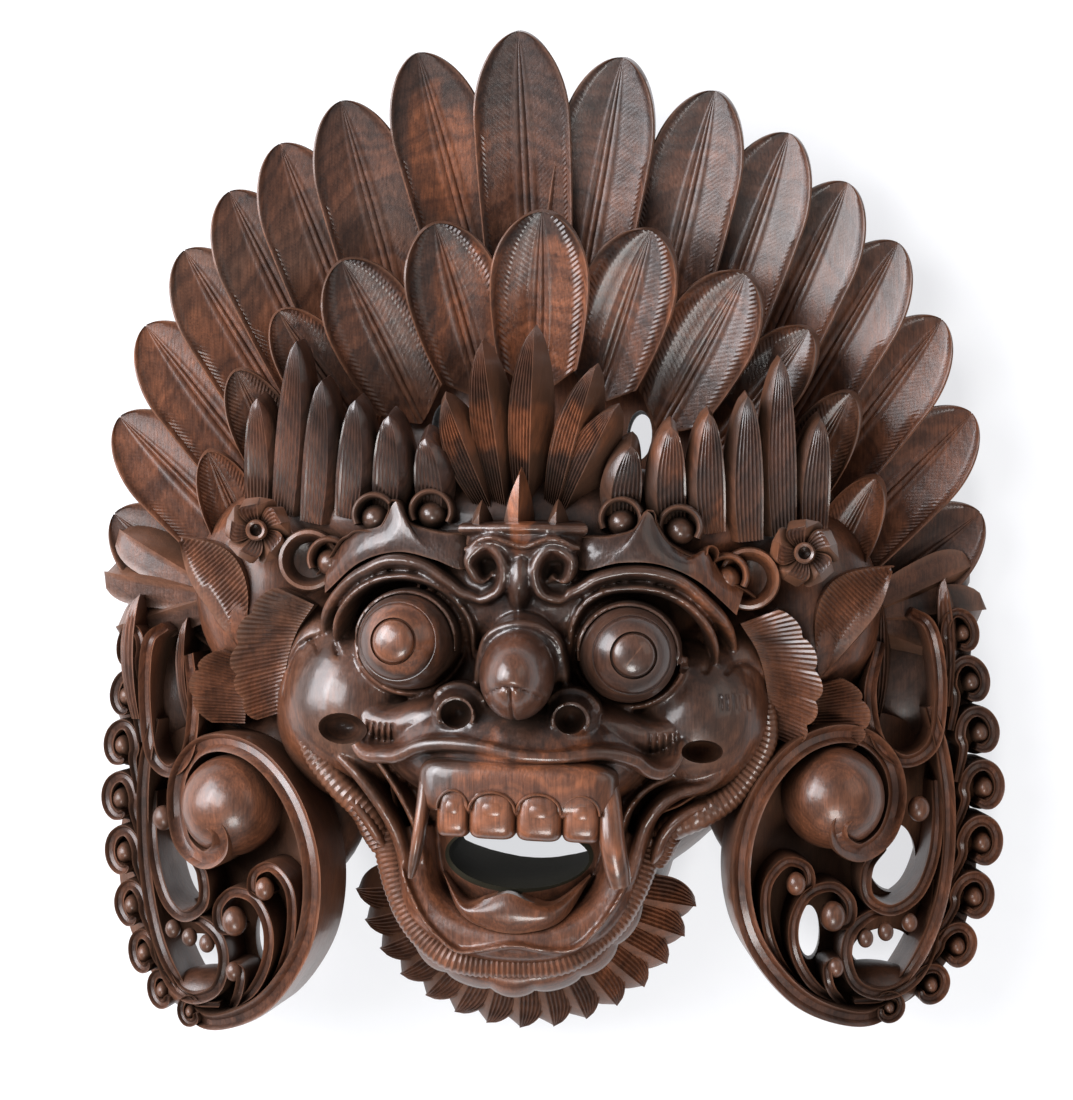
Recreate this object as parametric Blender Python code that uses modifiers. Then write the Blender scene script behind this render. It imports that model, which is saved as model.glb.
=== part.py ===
# Guardian mask with a feather crown, carved from one block of dark wood.
# It lies on the flat rim of its hollow back: X to the viewer's right, Y towards
# the crest, Z out of the face. Lengths in the named sizes are millimetres.
import bpy
import bmesh
from math import cos, exp, pi, radians, sin
from mathutils import Matrix, Vector

MM = 0.001

# Whole carving
voxel = 1.15
triangles_kept = 0.021
face_lean = 2.4
ear_lean = 1.2
ear_shift = -2.0
leaf_rows = 9
leaf_columns = 6

# Head, hollowed from the back
skull_half_width = 62.0
skull_half_height = 61.0
skull_top = 64.0
skull_y = -28.0
jaw_half_width = 37.0
jaw_reach = 37.0
jaw_y = -70.0
jaw_top = 56.0
cheek_x = 40.0
cheek_y = -38.0
cheek_radius = 22.0
cheek_top = 64.0
muzzle_half_width = 33.0
muzzle_half_height = 16.0
muzzle_y = -46.0
muzzle_top = 82.0
muzzle_base = 16.4
wall = 14.0
hollow_lower_end = -79.0
drill_low = -4.0
drill_high = 120.0
floor_reach = 600.0

# Round masses: middle, then half sizes
brow_mass = ((0.0, -10.0, 46.5), (28.0, 18.0, 25.5))
forehead_mass = ((0.0, -1.0, 39.6), (48.0, 13.0, 27.7))
chin_mass = ((0.0, -87.0, 34.0), (27.0, 15.0, 18.0))
cheek_bone_mass = ((48.0, -30.0, 34.0), (13.0, 20.0, 22.0))
nose_hood_mass = ((0.8, -24.0, 70.0), (11.5, 12.0, 14.0))
nostril_mass = ((12.8, -36.2, 73.0), (8.0, 7.0, 8.0))
brow_knot = ((8.0, -5.0, 71.0), (4.2, 4.2, 4.5))
gum_mass = ((1.6, -51.5, 67.0), (22.0, 6.0, 16.0))
tongue_mass = ((0.0, -87.0, 48.0), (16.0, 7.0, 10.0))
crown_mass = ((0.0, 6.0, 40.0), (60.0, 16.0, 24.0))
temple_mass = ((64.0, -12.0, 28.0), (20.0, 26.0, 17.0))
flower_mass = ((64.0, 2.0, 51.0), (6.8, 6.8, 6.0))
cup_mass = ((51.5, -4.5, 49.0), (7.4, 7.8, 7.0))
ear_top_mass = ((92.0, -38.0, 26.0), (16.0, 14.0, 7.0))
ear_back_mass = ((60.0, -58.0, 22.0), (20.0, 26.0, 15.0))

# Eyes, nose and brows
eye_x = 26.3
eye_y = -21.8
eye_radius = 12.0
eye_top = 82.0
eye_ring = 12.0
eye_ring_tube = 2.3
iris_radius = 5.4
iris_top = 85.5
eye_ring_drop = 10.2
nose_x = 0.8
nose_y = -28.3
nose_half_width = 8.4
nose_half_height = 10.0
nose_top = 101.0
nose_base = 65.0
nostril_x = 12.8
nostril_y = -37.2
nostril_radius = 4.7
nostril_top = 82.0
brow_tube = 3.0
brow_path = ((7.5, -4.5, 72.0), (13.0, -5.0, 72.0), (25.0, -2.0, 71.0), (36.0, -6.5, 68.0),
             (43.0, -12.0, 62.0), (43.5, -19.0, 57.0))

# Mouth
mouth_half_width = 17.0
mouth_top = -65.0
lip_tube = 2.8
lip_path = ((0.0, -46.5, 83.2), (6.0, -46.0, 82.7), (13.0, -43.5, 81.2), (19.0, -43.5, 78.2),
            (26.0, -48.0, 72.2), (33.0, -45.5, 66.2))
tooth_widths = (7.5, 10.7, 10.0, 8.2)
tooth_left = -16.3
tooth_length = 14.5
tooth_depth = 8.0
tooth_top = 85.0
tooth_fall = 4.0
tooth_crown = -1.6
fang_tube = 3.4
left_fang = ((-18.0, -52.0, 76.0), (-20.0, -62.0, 80.0), (-22.5, -73.5, 77.0))
right_fang = ((21.5, -52.0, 76.0), (23.5, -62.0, 80.0), (26.0, -73.5, 77.0))
lower_lip_tube = 4.6
lower_lip_path = ((-18.0, -80.0, 52.0), (-14.0, -89.0, 58.0), (-8.0, -92.0, 60.0), (0.0, -90.5, 61.0),
                  (8.0, -92.0, 60.0), (14.0, -89.0, 58.0), (18.0, -80.0, 52.0))
chin_band_tube = 4.8
chin_band_path = ((0.0, -103.0, 42.0), (10.0, -101.5, 43.0), (18.5, -95.5, 45.0),
                  (25.0, -87.0, 48.0), (28.5, -75.5, 51.0))
fold_tube = 4.6
fold_path = ((27.5, -75.0, 54.0), (28.5, -64.0, 61.0), (32.0, -57.0, 64.0), (40.0, -53.0, 63.0),
             (48.5, -44.5, 57.0), (51.0, -31.0, 52.0), (48.0, -21.0, 50.0))

# Beard leaves
beard_leaves = 15
beard_y = -78.0
beard_first_angle = -168.0
beard_last_angle = -12.0
beard_half_width = 44.0
beard_reach = 41.0
beard_root = 26.0
beard_leaf_width = 10.0
beard_leaf_thickness = 6.0
beard_keel = 1.6
beard_tip_z = 14.0
beard_root_z = 27.0

# Back fan of feathers
fan_centre_y = 10.0
fan_side_feathers = 8
fan_step = 11.15
fan_bunch = 2.2
fan_bunch_period = 7.3
crest_shift = -1.7
fan_reach = 109.0
crest_rise = 6.5
fan_feather_length = 67.0
fan_lean_share = 0.58
fan_feather_width = 23.4
fan_feather_thickness = 4.4
fan_root_z = 24.0
fan_side_root_z = 18.0
fan_crest_z = 43.0
fan_side_z = 14.0
feather_roll = 7.0
feather_cup = 2.2
feather_curl = 0.5

# Second row of feathers
row_angles = (0.0, 21.2, 40.1, 54.8, 67.7, 82.5)
row_widths = (23.5, 23.0, 22.5, 18.0, 16.0, 15.0)
row_leans = (0.0, 17.0, 27.0, 36.0, 27.0, 24.0)
row_length = 42.0
row_reach = 69.0
row_side_rise = 13.0
row_top = 56.0
row_side_top = 36.0
row_drop = 12.0
row_thickness = 4.6
row_roll = 6.0

# Flame leaves over the forehead
tuft_y = 12.0
tuft_reach = 39.0
tuft_drop = 10.0
tuft_angles = (-44.0, -18.0, 1.0, 23.0, 43.0)
tuft_root_z = 64.0
tuft_tip_z = 71.0
tuft_thickness = 6.0
flame_width = 9.4
flame_thickness = 9.0
flame_keel = 1.8
flame_rise = 8.0
flame_tip_heights = (24.0, 29.0, 32.5, 37.5, 46.5, 33.0)
flame_tip_x = 24.0
flame_tip_step = 8.6
flame_root_x = 22.0
flame_root_step = 9.0
flame_root_y = 8.0
flame_root_z = 62.0
flame_side_root_z = 41.0
spike_root_y = -1.0
spike_root_z = 66.0
spike_tip_z = 74.0
spike_thickness = 7.0
spike_keel = 1.5
spikes = ((-9.9, 7.5, 6.5), (-1.2, 17.0, 7.5), (7.5, 8.9, 6.5))
diadem_tube = 4.0
diadem_path = ((0.0, 2.0, 67.0), (12.0, 3.0, 66.0), (24.0, 6.0, 62.0), (38.0, 4.0, 57.0),
               (50.0, -8.0, 50.0))
knob_radius = 4.6
knobs = ((21.8, 8.0, 67.0), (35.2, 6.7, 64.0), (46.3, -4.0, 58.0))

# Crown plate behind the leaves
plate_half_width = 74.0
plate_half_height = 60.0
plate_y = 2.0
plate_z = 22.0
plate_half_thickness = 10.0

crown_gap = ((24.0, 29.0), (3.0, 6.0), 62.0)

# Temples
ear_leaf = ((69.0, -27.0, 42.0), (85.0, 0.0, 44.0))
ear_leaf_width = 15.0
ear_leaf_thickness = 6.0
ear_leaf_cup = 1.8
upper_frill = ((53.0, -12.0, 56.0), (61.0, -23.0, 54.0), (63.5, -33.0, 51.0), (61.0, -44.0, 48.0))
upper_frill_width = 11.0
upper_frill_depth = 14.0
lower_frill = ((71.0, -26.0, 43.0), (75.0, -35.0, 42.0), (74.0, -44.0, 40.0))
lower_frill_width = 10.0
lower_frill_depth = 12.0
acanthus_root = (78.0, -14.0, 24.0)
acanthus_tips = ((108.0, 1.0, 19.0), (111.5, -10.0, 19.0), (108.0, -24.0, 19.0))
acanthus_width = 13.0
acanthus_thickness = 6.0
acanthus_cup = 1.5

# Ear ornaments
ear_inner_x = 50.0
ear_inner_z = 60.0
ear_slope = 0.62
ear_plate_x = 80.0
ear_plate_y = -78.0
ear_plate_half_width = 31.0
ear_plate_half_height = 38.0
ear_plate_drop = 15.0
ear_plate_thickness = 6.0
rim_width = 4.2
rim_depth = 21.0
scroll_width = 3.8
scroll_depth = 16.0
ear_ball = 10.5
ear_ball_x = 72.5
ear_ball_y = -60.0
ear_ball_rise = 1.0
lobe_radius = 7.6
lobe_half_depth = 5.0
lobe_count = 7
lobe_x = 107.0
lobe_first_y = -40.0
lobe_last_y = -110.0
lobe_bow = 24.0
lobe_shift = 3.5
rim_path = ((88.0, -58.0), (85.0, -49.0), (74.5, -42.5), (60.0, -49.5), (52.0, -63.0), (50.0, -77.0),
            (53.5, -91.0), (62.0, -104.0), (74.0, -112.5), (86.0, -117.0))
inner_curl_path = ((65.0, -76.5), (62.5, -72.0), (58.0, -72.0), (55.5, -78.0), (55.0, -88.0))
lower_curl_path = ((75.0, -89.0), (74.5, -83.5), (70.5, -80.0), (65.5, -81.5), (61.5, -88.0),
                   (61.0, -96.0), (66.0, -106.0))
crescent_path = ((82.0, -93.0), (78.0, -91.0), (75.0, -95.0), (76.0, -103.0), (84.0, -109.0),
                 (92.0, -105.0), (97.0, -97.0), (96.0, -86.0))
stem_path = ((97.0, -46.0), (99.5, -60.0), (99.0, -74.0), (94.5, -85.0), (86.0, -92.0))
loop_path = ((87.0, -27.0), (84.0, -42.0), (88.0, -53.0), (95.5, -52.0), (98.0, -40.0), (94.0, -26.0))
sprig_path = ((99.0, -66.0), (90.0, -72.0), (86.0, -84.0), (79.0, -86.0))
ear_drill_low = -10.0
ear_drill_high = 70.0
ear_holes = ((86.0, -75.0, 5.5, 8.5), (83.0, -99.0, 7.0, 5.5), (66.0, -93.0, 2.6, 6.0),
             (104.0, -62.0, 2.0, 3.0), (103.0, -87.0, 2.0, 3.0))

TURN_FACE = Matrix.Rotation(radians(-face_lean), 4, "Z")
TURN_EARS = Matrix.Translation((ear_shift, 0.0, 0.0)) @ Matrix.Rotation(radians(ear_lean), 4, "Z")
UNTURNED = Matrix.Identity(4)


def clear_scene():
    for item in list(bpy.data.objects):
        bpy.data.objects.remove(item, do_unlink=True)


def collection(name):
    made = bpy.data.collections.new(name)
    bpy.context.scene.collection.children.link(made)
    return made


def add_to(block, form, turn):
    """Turn one closed form, bring it to metres and add it to the block."""
    bmesh.ops.recalc_face_normals(form, faces=form.faces)
    form.transform(Matrix.Scale(MM, 4) @ turn)
    mesh = bpy.data.meshes.new("form")
    form.to_mesh(mesh)
    form.free()
    block.from_mesh(mesh)
    bpy.data.meshes.remove(mesh)


def thicken(form, push):
    """Extrude an open sheet along one direction into a closed solid."""
    made = bmesh.ops.extrude_face_region(form, geom=list(form.faces), use_keep_orig=True)
    moved = [part for part in made["geom"] if isinstance(part, bmesh.types.BMVert)]
    bmesh.ops.translate(form, verts=moved, vec=push)


def smooth_path(points, samples):
    """Sample a Catmull-Rom curve through the points."""
    knots = [Vector(point) for point in points]
    knots = [2 * knots[0] - knots[1]] + knots + [2 * knots[-1] - knots[-2]]
    spans = len(knots) - 3
    path = []
    for index in range(samples):
        place = spans * index / (samples - 1)
        span = min(int(place), spans - 1)
        t = place - span
        a, b, c, d = knots[span:span + 4]
        bend = 2 * b + (c - a) * t + (2 * a - 5 * b + 4 * c - d) * t ** 2
        path.append(0.5 * (bend + (3 * b - a - 3 * c + d) * t ** 3))
    return path


def ball(block, turn, centre, radii):
    form = bmesh.new()
    bmesh.ops.create_uvsphere(form, u_segments=24, v_segments=14, radius=1.0)
    form.transform(Matrix.Translation(centre) @ Matrix.Diagonal((*radii, 1.0)))
    add_to(block, form, turn)


def mass(block, turn, size, side=1):
    """A round mass from a named middle and half sizes, mirrored where side is -1."""
    (x, y, z), radii = size
    ball(block, turn, (side * x, y, z), radii)


def mirrored(path, side):
    return [(side * x, y, z) for x, y, z in path]


def leaf(block, turn, root, tip, width, thickness, facing=(0, 0, 1), roll=0.0,
         stem=0.55, belly=0.55, point=0.6, cup=0.0, curl=0.0, keel=0.0):
    """A feather or leaf from root to tip: belly width, cupped, curled and keeled."""
    root = Vector(root)
    along = Vector(tip) - root
    axis = along.normalized()
    across = axis.cross(Vector(facing)).normalized()
    across.rotate(Matrix.Rotation(radians(roll), 3, axis))
    out = across.cross(axis)
    form = bmesh.new()
    bmesh.ops.create_grid(form, x_segments=leaf_columns, y_segments=leaf_rows, size=1.0)
    for vertex in form.verts:
        s = vertex.co.x
        t = 0.5 + 0.5 * vertex.co.y
        if t < belly:
            share = stem + (1.0 - stem) * sin(0.5 * pi * t / belly)
        else:
            share = max(0.05, 1.0 - ((t - belly) / (1.0 - belly)) ** 2) ** point
        lift = cup * s * s * share + curl * t * t + keel * (1.0 - abs(s)) * share
        vertex.co = root + along * t + across * (0.5 * width * share * s) + out * lift
    thicken(form, -thickness * out)
    add_to(block, form, turn)


def strip(block, turn, points, width, depth, samples=18, draft=0.1):
    """A carved band on edge: its face follows the path, its walls run back into the wood."""
    path = smooth_path(points, samples)
    form = bmesh.new()
    bmesh.ops.create_grid(form, x_segments=2, y_segments=samples - 1, size=1.0)
    for vertex in form.verts:
        place = round((0.5 + 0.5 * vertex.co.y) * (samples - 1))
        ahead = path[min(place + 1, samples - 1)] - path[max(place - 1, 0)]
        side = ahead.cross(Vector((0, 0, 1))).normalized()
        vertex.co = path[place] + side * (0.5 * width * vertex.co.x)
    outward = 1.0 if path[0].x > 0 else -1.0
    thicken(form, depth * Vector((-draft * outward, 0.0, -1.0)))
    add_to(block, form, turn)


def rod(block, turn, points, tube, end_tube=None, closed=False, samples=20):
    """A round ridge along a path, thinning to its end."""
    path = [Vector(point) for point in points] if closed else smooth_path(points, samples)
    last = tube if end_tube is None else end_tube
    curve = bpy.data.curves.new("ridge", "CURVE")
    curve.dimensions = "3D"
    curve.bevel_depth = MM
    curve.bevel_resolution = 2
    curve.use_fill_caps = True
    spline = curve.splines.new("POLY")
    spline.points.add(len(path) - 1)
    spline.use_cyclic_u = closed
    for index, place in enumerate(path):
        spline.points[index].co = (*(place * MM), 1.0)
        spline.points[index].radius = tube + (last - tube) * index / (len(path) - 1)
    ridge = bpy.data.objects.new("ridge", curve)
    bpy.context.scene.collection.objects.link(ridge)
    graph = bpy.context.evaluated_depsgraph_get()
    mesh = bpy.data.meshes.new_from_object(ridge.evaluated_get(graph))
    form = bmesh.new()
    form.from_mesh(mesh)
    bmesh.ops.remove_doubles(form, verts=form.verts, dist=0.01 * MM)
    form.transform(Matrix.Scale(1.0 / MM, 4))
    add_to(block, form, turn)
    bpy.data.objects.remove(ridge, do_unlink=True)
    bpy.data.curves.remove(curve)
    bpy.data.meshes.remove(mesh)


def circle(centre, radius, count=16):
    turns = [2.0 * pi * index / count for index in range(count)]
    return [(centre[0] + radius * cos(a), centre[1] + radius * sin(a), centre[2]) for a in turns]


def carve_head(block):
    turn = TURN_FACE
    muzzle_half_depth = 0.5 * (muzzle_top - muzzle_base)
    ball(block, turn, (0, skull_y, 0), (skull_half_width, skull_half_height, skull_top))
    ball(block, turn, (0, jaw_y, 0), (jaw_half_width, jaw_reach, jaw_top))
    ball(block, turn, (0, muzzle_y, muzzle_top - muzzle_half_depth),
         (muzzle_half_width, muzzle_half_height, muzzle_half_depth))
    for size in (brow_mass, forehead_mass, chin_mass, nose_hood_mass):
        mass(block, turn, size)
    for side in (-1, 1):
        ball(block, turn, (side * cheek_x, cheek_y, 0.5 * cheek_top),
             (cheek_radius, 1.15 * cheek_radius, 0.5 * cheek_top))
        ball(block, turn, (side * eye_x, eye_y, eye_top - eye_radius), (eye_radius,) * 3)
        ball(block, turn, (side * eye_x, eye_y, iris_top - 0.7 * iris_radius),
             (iris_radius, iris_radius, 0.7 * iris_radius))
        rod(block, turn, circle((side * eye_x, eye_y, eye_top - eye_ring_drop), eye_ring),
            eye_ring_tube, closed=True)
        rod(block, turn, circle((side * nostril_x, nostril_y, nostril_top), nostril_radius),
            0.4 * nostril_radius, closed=True)
        for size in (cheek_bone_mass, nostril_mass, brow_knot):
            mass(block, turn, size, side)
        rod(block, turn, mirrored(brow_path, side), brow_tube, 0.6 * brow_tube)
        rod(block, turn, mirrored(fold_path, side), fold_tube)
        rod(block, turn, mirrored(lip_path, side), lip_tube)
        rod(block, turn, mirrored(chin_band_path, side), chin_band_tube)
    ball(block, turn, (nose_x, nose_y, 0.5 * (nose_top + nose_base)),
         (nose_half_width, nose_half_height, 0.5 * (nose_top - nose_base)))


def carve_mouth(block):
    turn = TURN_FACE
    mass(block, turn, gum_mass)
    left = tooth_left
    for width in tooth_widths:
        middle = left + 0.5 * width
        top = tooth_top - tooth_fall * (middle / tooth_left) ** 2
        leaf(block, turn, (middle, mouth_top + tooth_length, top), (middle, mouth_top, top),
             width, tooth_depth, stem=0.9, belly=0.6, point=0.2, cup=tooth_crown)
        left += width
    for fang in (left_fang, right_fang):
        rod(block, turn, fang, fang_tube, 0.4 * fang_tube)
    rod(block, turn, lower_lip_path, lower_lip_tube)
    mass(block, turn, tongue_mass)


def carve_beard(block):
    for index in range(beard_leaves):
        share = index / (beard_leaves - 1)
        angle = radians(beard_first_angle + (beard_last_angle - beard_first_angle) * share)
        root = (beard_root * cos(angle), beard_y + beard_root * sin(angle), beard_root_z)
        tip = (beard_half_width * cos(angle), beard_y + beard_reach * sin(angle), beard_tip_z)
        leaf(block, TURN_FACE, root, tip, beard_leaf_width, beard_leaf_thickness, point=0.8,
             keel=beard_keel)


def carve_fan(block):
    for index in range(-fan_side_feathers, fan_side_feathers + 1):
        spread = fan_step * index + fan_bunch * sin(2.0 * pi * index / fan_bunch_period)
        near_crest = exp(-(index / 2.5) ** 2)
        angle = radians(90.0 - spread - crest_shift * near_crest)
        reach = fan_reach + crest_rise * exp(-(index + 0.4) ** 2)
        side_share = (abs(index) / fan_side_feathers) ** 1.3
        tip_z = fan_crest_z + (fan_side_z - fan_crest_z) * side_share
        root_z = fan_root_z + (fan_side_root_z - fan_root_z) * side_share
        tip = (reach * cos(angle), fan_centre_y + reach * sin(angle), tip_z)
        lean = radians(90.0 - fan_lean_share * spread) if abs(index) > 1 else angle
        root = (tip[0] - fan_feather_length * cos(lean), tip[1] - fan_feather_length * sin(lean), root_z)
        roll = feather_roll if index < 0 else -feather_roll
        leaf(block, UNTURNED, root, tip, fan_feather_width, fan_feather_thickness,
             roll=0.0 if index == 0 else roll, stem=0.84, belly=0.7, point=0.55,
             cup=feather_cup, curl=feather_curl)


def carve_second_row(block):
    last = len(row_angles) - 1
    for index, (spread, lean, width) in enumerate(zip(row_angles, row_leans, row_widths)):
        for side in ((1,) if index == 0 else (-1, 1)):
            angle, slant = radians(90.0 - side * spread), radians(90.0 - side * lean)
            reach = row_reach + row_side_rise * sin(radians(spread)) ** 2
            top = row_top + (row_side_top - row_top) * index / last
            tip = (reach * cos(angle), fan_centre_y + reach * sin(angle), top)
            root = (tip[0] - row_length * cos(slant), tip[1] - row_length * sin(slant), top - row_drop)
            leaf(block, TURN_FACE, root, tip, width, row_thickness,
                 roll=-side * row_roll if index else 0.0, stem=0.65, belly=0.62, point=0.5,
                 cup=feather_cup)


def carve_flames(block):
    turn = TURN_FACE
    for spread in tuft_angles:
        reach = tuft_reach - tuft_drop * (spread / tuft_angles[-1]) ** 2
        tip = (reach * sin(radians(spread)), tuft_y + reach * cos(radians(spread)), tuft_tip_z)
        leaf(block, turn, (0.3 * tip[0], flame_root_y, tuft_root_z), tip, flame_width,
             tuft_thickness, stem=0.5, belly=0.5, point=0.8, keel=flame_keel)
    last = len(flame_tip_heights) - 1
    for side in (-1, 1):
        for index, height in enumerate(flame_tip_heights):
            z = flame_root_z + (flame_side_root_z - flame_root_z) * (index / last) ** 1.5
            root = (side * (flame_root_x + flame_root_step * index), flame_root_y, z)
            tip = (side * (flame_tip_x + flame_tip_step * index), height, z + flame_rise)
            leaf(block, turn, root, tip, flame_width, flame_thickness, stem=0.86, belly=0.35,
                 point=0.7, keel=flame_keel)
    for x, height, width in spikes:
        leaf(block, turn, (x, spike_root_y, spike_root_z), (x, height, spike_tip_z), width,
             spike_thickness, point=0.9, keel=spike_keel)
    for side in (-1, 1):
        for x, y, z in knobs:
            ball(block, turn, (side * x, y, z - knob_radius), (knob_radius,) * 3)
        rod(block, turn, mirrored(diadem_path, side), diadem_tube)


def carve_crown_plate(block):
    ball(block, TURN_FACE, (0, plate_y, plate_z),
         (plate_half_width, plate_half_height, plate_half_thickness))
    mass(block, TURN_FACE, crown_mass)
    for side in (-1, 1):
        mass(block, TURN_FACE, temple_mass, side)


def ear_height(x):
    return ear_inner_z - ear_slope * (x - ear_inner_x)


def carve_temples(block):
    turn = TURN_FACE
    for side in (-1, 1):
        root, tip = mirrored(ear_leaf, side)
        leaf(block, turn, root, tip, ear_leaf_width, ear_leaf_thickness, stem=0.5, belly=0.5,
             point=0.7, cup=ear_leaf_cup)
        strip(block, turn, mirrored(upper_frill, side), upper_frill_width, upper_frill_depth)
        strip(block, turn, mirrored(lower_frill, side), lower_frill_width, lower_frill_depth)
        mass(block, turn, flower_mass, side)
        mass(block, turn, cup_mass, side)
        root = mirrored([acanthus_root], side)[0]
        for tip in mirrored(acanthus_tips, side):
            leaf(block, turn, root, tip, acanthus_width, acanthus_thickness, stem=0.5, belly=0.7,
                 point=0.5, cup=acanthus_cup)


def carve_ears(block):
    turn = TURN_EARS
    scrolls = (inner_curl_path, lower_curl_path, crescent_path, stem_path, loop_path, sprig_path)
    bands = [(rim_path, rim_width, rim_depth)]
    bands += [(path, scroll_width, scroll_depth) for path in scrolls]
    for side in (-1, 1):
        for path, width, depth in bands:
            strip(block, turn, [(side * x, y, ear_height(x)) for x, y in path], width, depth,
                  samples=28)
        ball(block, turn, (side * ear_ball_x, ear_ball_y, ear_height(ear_ball_x) + ear_ball_rise),
             (ear_ball,) * 3)
        for index in range(lobe_count):
            share = index / (lobe_count - 1)
            y = lobe_first_y + (lobe_last_y - lobe_first_y) * share
            x = lobe_x - lobe_bow * (share - 0.4) ** 2
            ball(block, turn, (side * x + lobe_shift, y, ear_height(x)),
                 (lobe_radius, 0.85 * lobe_radius, lobe_half_depth))
        mass(block, turn, ear_top_mass, side)
        mass(block, turn, ear_back_mass, side)
    carve_ear_plates(block)


def carve_ear_plates(block):
    """The pierced ground behind the scrolls, cut through where daylight shows."""
    for side in (-1, 1):
        form = bmesh.new()
        bmesh.ops.create_cone(form, cap_ends=True, segments=40, radius1=1.0, radius2=1.0, depth=1.0)
        size = (ear_plate_half_width, ear_plate_half_height, ear_plate_thickness, 1.0)
        slope = Matrix.Identity(4)
        slope[2][0] = -side * ear_slope
        middle = Vector((side * ear_plate_x, ear_plate_y, ear_height(ear_plate_x) - ear_plate_drop))
        form.transform(TURN_EARS @ Matrix.Translation(middle) @ slope @ Matrix.Diagonal(size))
        form.transform(Matrix.Scale(MM, 4))
        mesh = bpy.data.meshes.new("ear_ground")
        form.to_mesh(mesh)
        form.free()
        ground = bpy.data.objects.new("ear_ground", mesh)
        bpy.context.scene.collection.objects.link(ground)
        drills = []
        for x, y, half_x, half_y in ear_holes:
            drill = tunnel(TURN_EARS @ Vector((side * x, y, 0.0)), half_x, half_y,
                           ear_drill_low, ear_drill_high)
            cut(ground, drill)
            drills.append(drill)
        graph = bpy.context.evaluated_depsgraph_get()
        pierced = bpy.data.meshes.new_from_object(ground.evaluated_get(graph))
        block.from_mesh(pierced)
        for item in drills + [ground]:
            bpy.data.objects.remove(item, do_unlink=True)


def tunnel(centre, half_x, half_y, low, high, name="drill"):
    form = bmesh.new()
    bmesh.ops.create_cone(form, cap_ends=True, segments=20, radius1=1.0, radius2=1.0, depth=1.0)
    form.transform(Matrix.Translation((centre[0], centre[1], 0.5 * (low + high)))
                   @ Matrix.Diagonal((half_x, half_y, high - low, 1.0)))
    form.transform(Matrix.Scale(MM, 4))
    return cutter(form, name)


def cutter(form, name):
    mesh = bpy.data.meshes.new(name)
    form.to_mesh(mesh)
    form.free()
    tool = bpy.data.objects.new(name, mesh)
    CUTTERS.objects.link(tool)
    tool.hide_render = True
    tool.display_type = "WIRE"
    return tool


def cut(target, tool):
    step = target.modifiers.new("cut_" + tool.name, "BOOLEAN")
    step.operation = "DIFFERENCE"
    step.solver = "EXACT"
    step.object = tool


def hollow_tool():
    form = bmesh.new()
    bmesh.ops.create_uvsphere(form, u_segments=28, v_segments=16, radius=1.0)
    upper = skull_y + skull_half_height - wall
    middle = 0.5 * (upper + hollow_lower_end)
    size = (skull_half_width - wall, upper - middle, skull_top - wall, 1.0)
    form.transform(TURN_FACE @ Matrix.Translation((0, middle, 0)) @ Matrix.Diagonal(size))
    form.transform(Matrix.Scale(MM, 4))
    return cutter(form, "hollow")


def wood():
    made = bpy.data.materials.new("carved_wood")
    made.use_nodes = True
    surface = made.node_tree.nodes["Principled BSDF"]
    surface.inputs["Base Color"].default_value = (0.085, 0.040, 0.026, 1.0)
    surface.inputs["Roughness"].default_value = 0.38
    surface.inputs["Metallic"].default_value = 0.0
    return made


clear_scene()
MASK_PARTS = collection("tribal_mask")
CUTTERS = collection("cutters")
block = bmesh.new()
carve_head(block)
carve_mouth(block)
carve_beard(block)
carve_fan(block)
carve_second_row(block)
carve_flames(block)
carve_crown_plate(block)
carve_temples(block)
carve_ears(block)
mesh = bpy.data.meshes.new("mask")
block.to_mesh(mesh)
block.free()
mask = bpy.data.objects.new("mask", mesh)
MASK_PARTS.objects.link(mask)
mask.data.materials.append(wood())

fuse = mask.modifiers.new("one_block", "REMESH")
fuse.mode = "VOXEL"
fuse.voxel_size = voxel * MM
facets = mask.modifiers.new("facets", "DECIMATE")
facets.ratio = triangles_kept
cut(mask, hollow_tool())
mouth_y = 0.5 * (mouth_top + hollow_lower_end)
mouth_place = TURN_FACE @ Vector((0.0, mouth_y, 0.0))
cut(mask, tunnel(mouth_place, mouth_half_width, mouth_top - mouth_y, drill_low, drill_high, "mouth"))
(gap_x, gap_y), (gap_half_width, gap_half_height), gap_top = crown_gap
for side in (-1, 1):
    cut(mask, tunnel((side * gap_x, gap_y), gap_half_width, gap_half_height, drill_low, gap_top,
                     "crown_gap"))
floor = bmesh.new()
bmesh.ops.create_cube(floor, size=floor_reach * MM)
floor.transform(Matrix.Translation((0.0, 0.0, -0.5 * floor_reach * MM)))
cut(mask, cutter(floor, "floor_line"))

graph = bpy.context.evaluated_depsgraph_get()
carved = bpy.data.meshes.new_from_object(mask.evaluated_get(graph))
mask.modifiers.clear()
mask.data = carved
middle = [0.5 * (min(v.co[i] for v in carved.vertices) + max(v.co[i] for v in carved.vertices))
          for i in range(2)]
carved.transform(Matrix.Translation((-middle[0], -middle[1], 0.0)))
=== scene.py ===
# %% [markdown]
# # A guardian mask with a feather crown
# The whole mask is carved from one block of dark, waxed rosewood. This lesson dresses its plain
# CAD block: every group of carving is made again with its chisel lines, and the wood gets its grain.
# Sizes are millimetres, X to the viewer's right, Y towards the crest, Z out of the face.

# %% Load the frame
from math import cos, exp, pi, radians, sin

import bmesh
import bpy
import numpy as np
from mathutils import Matrix, Vector


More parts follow.
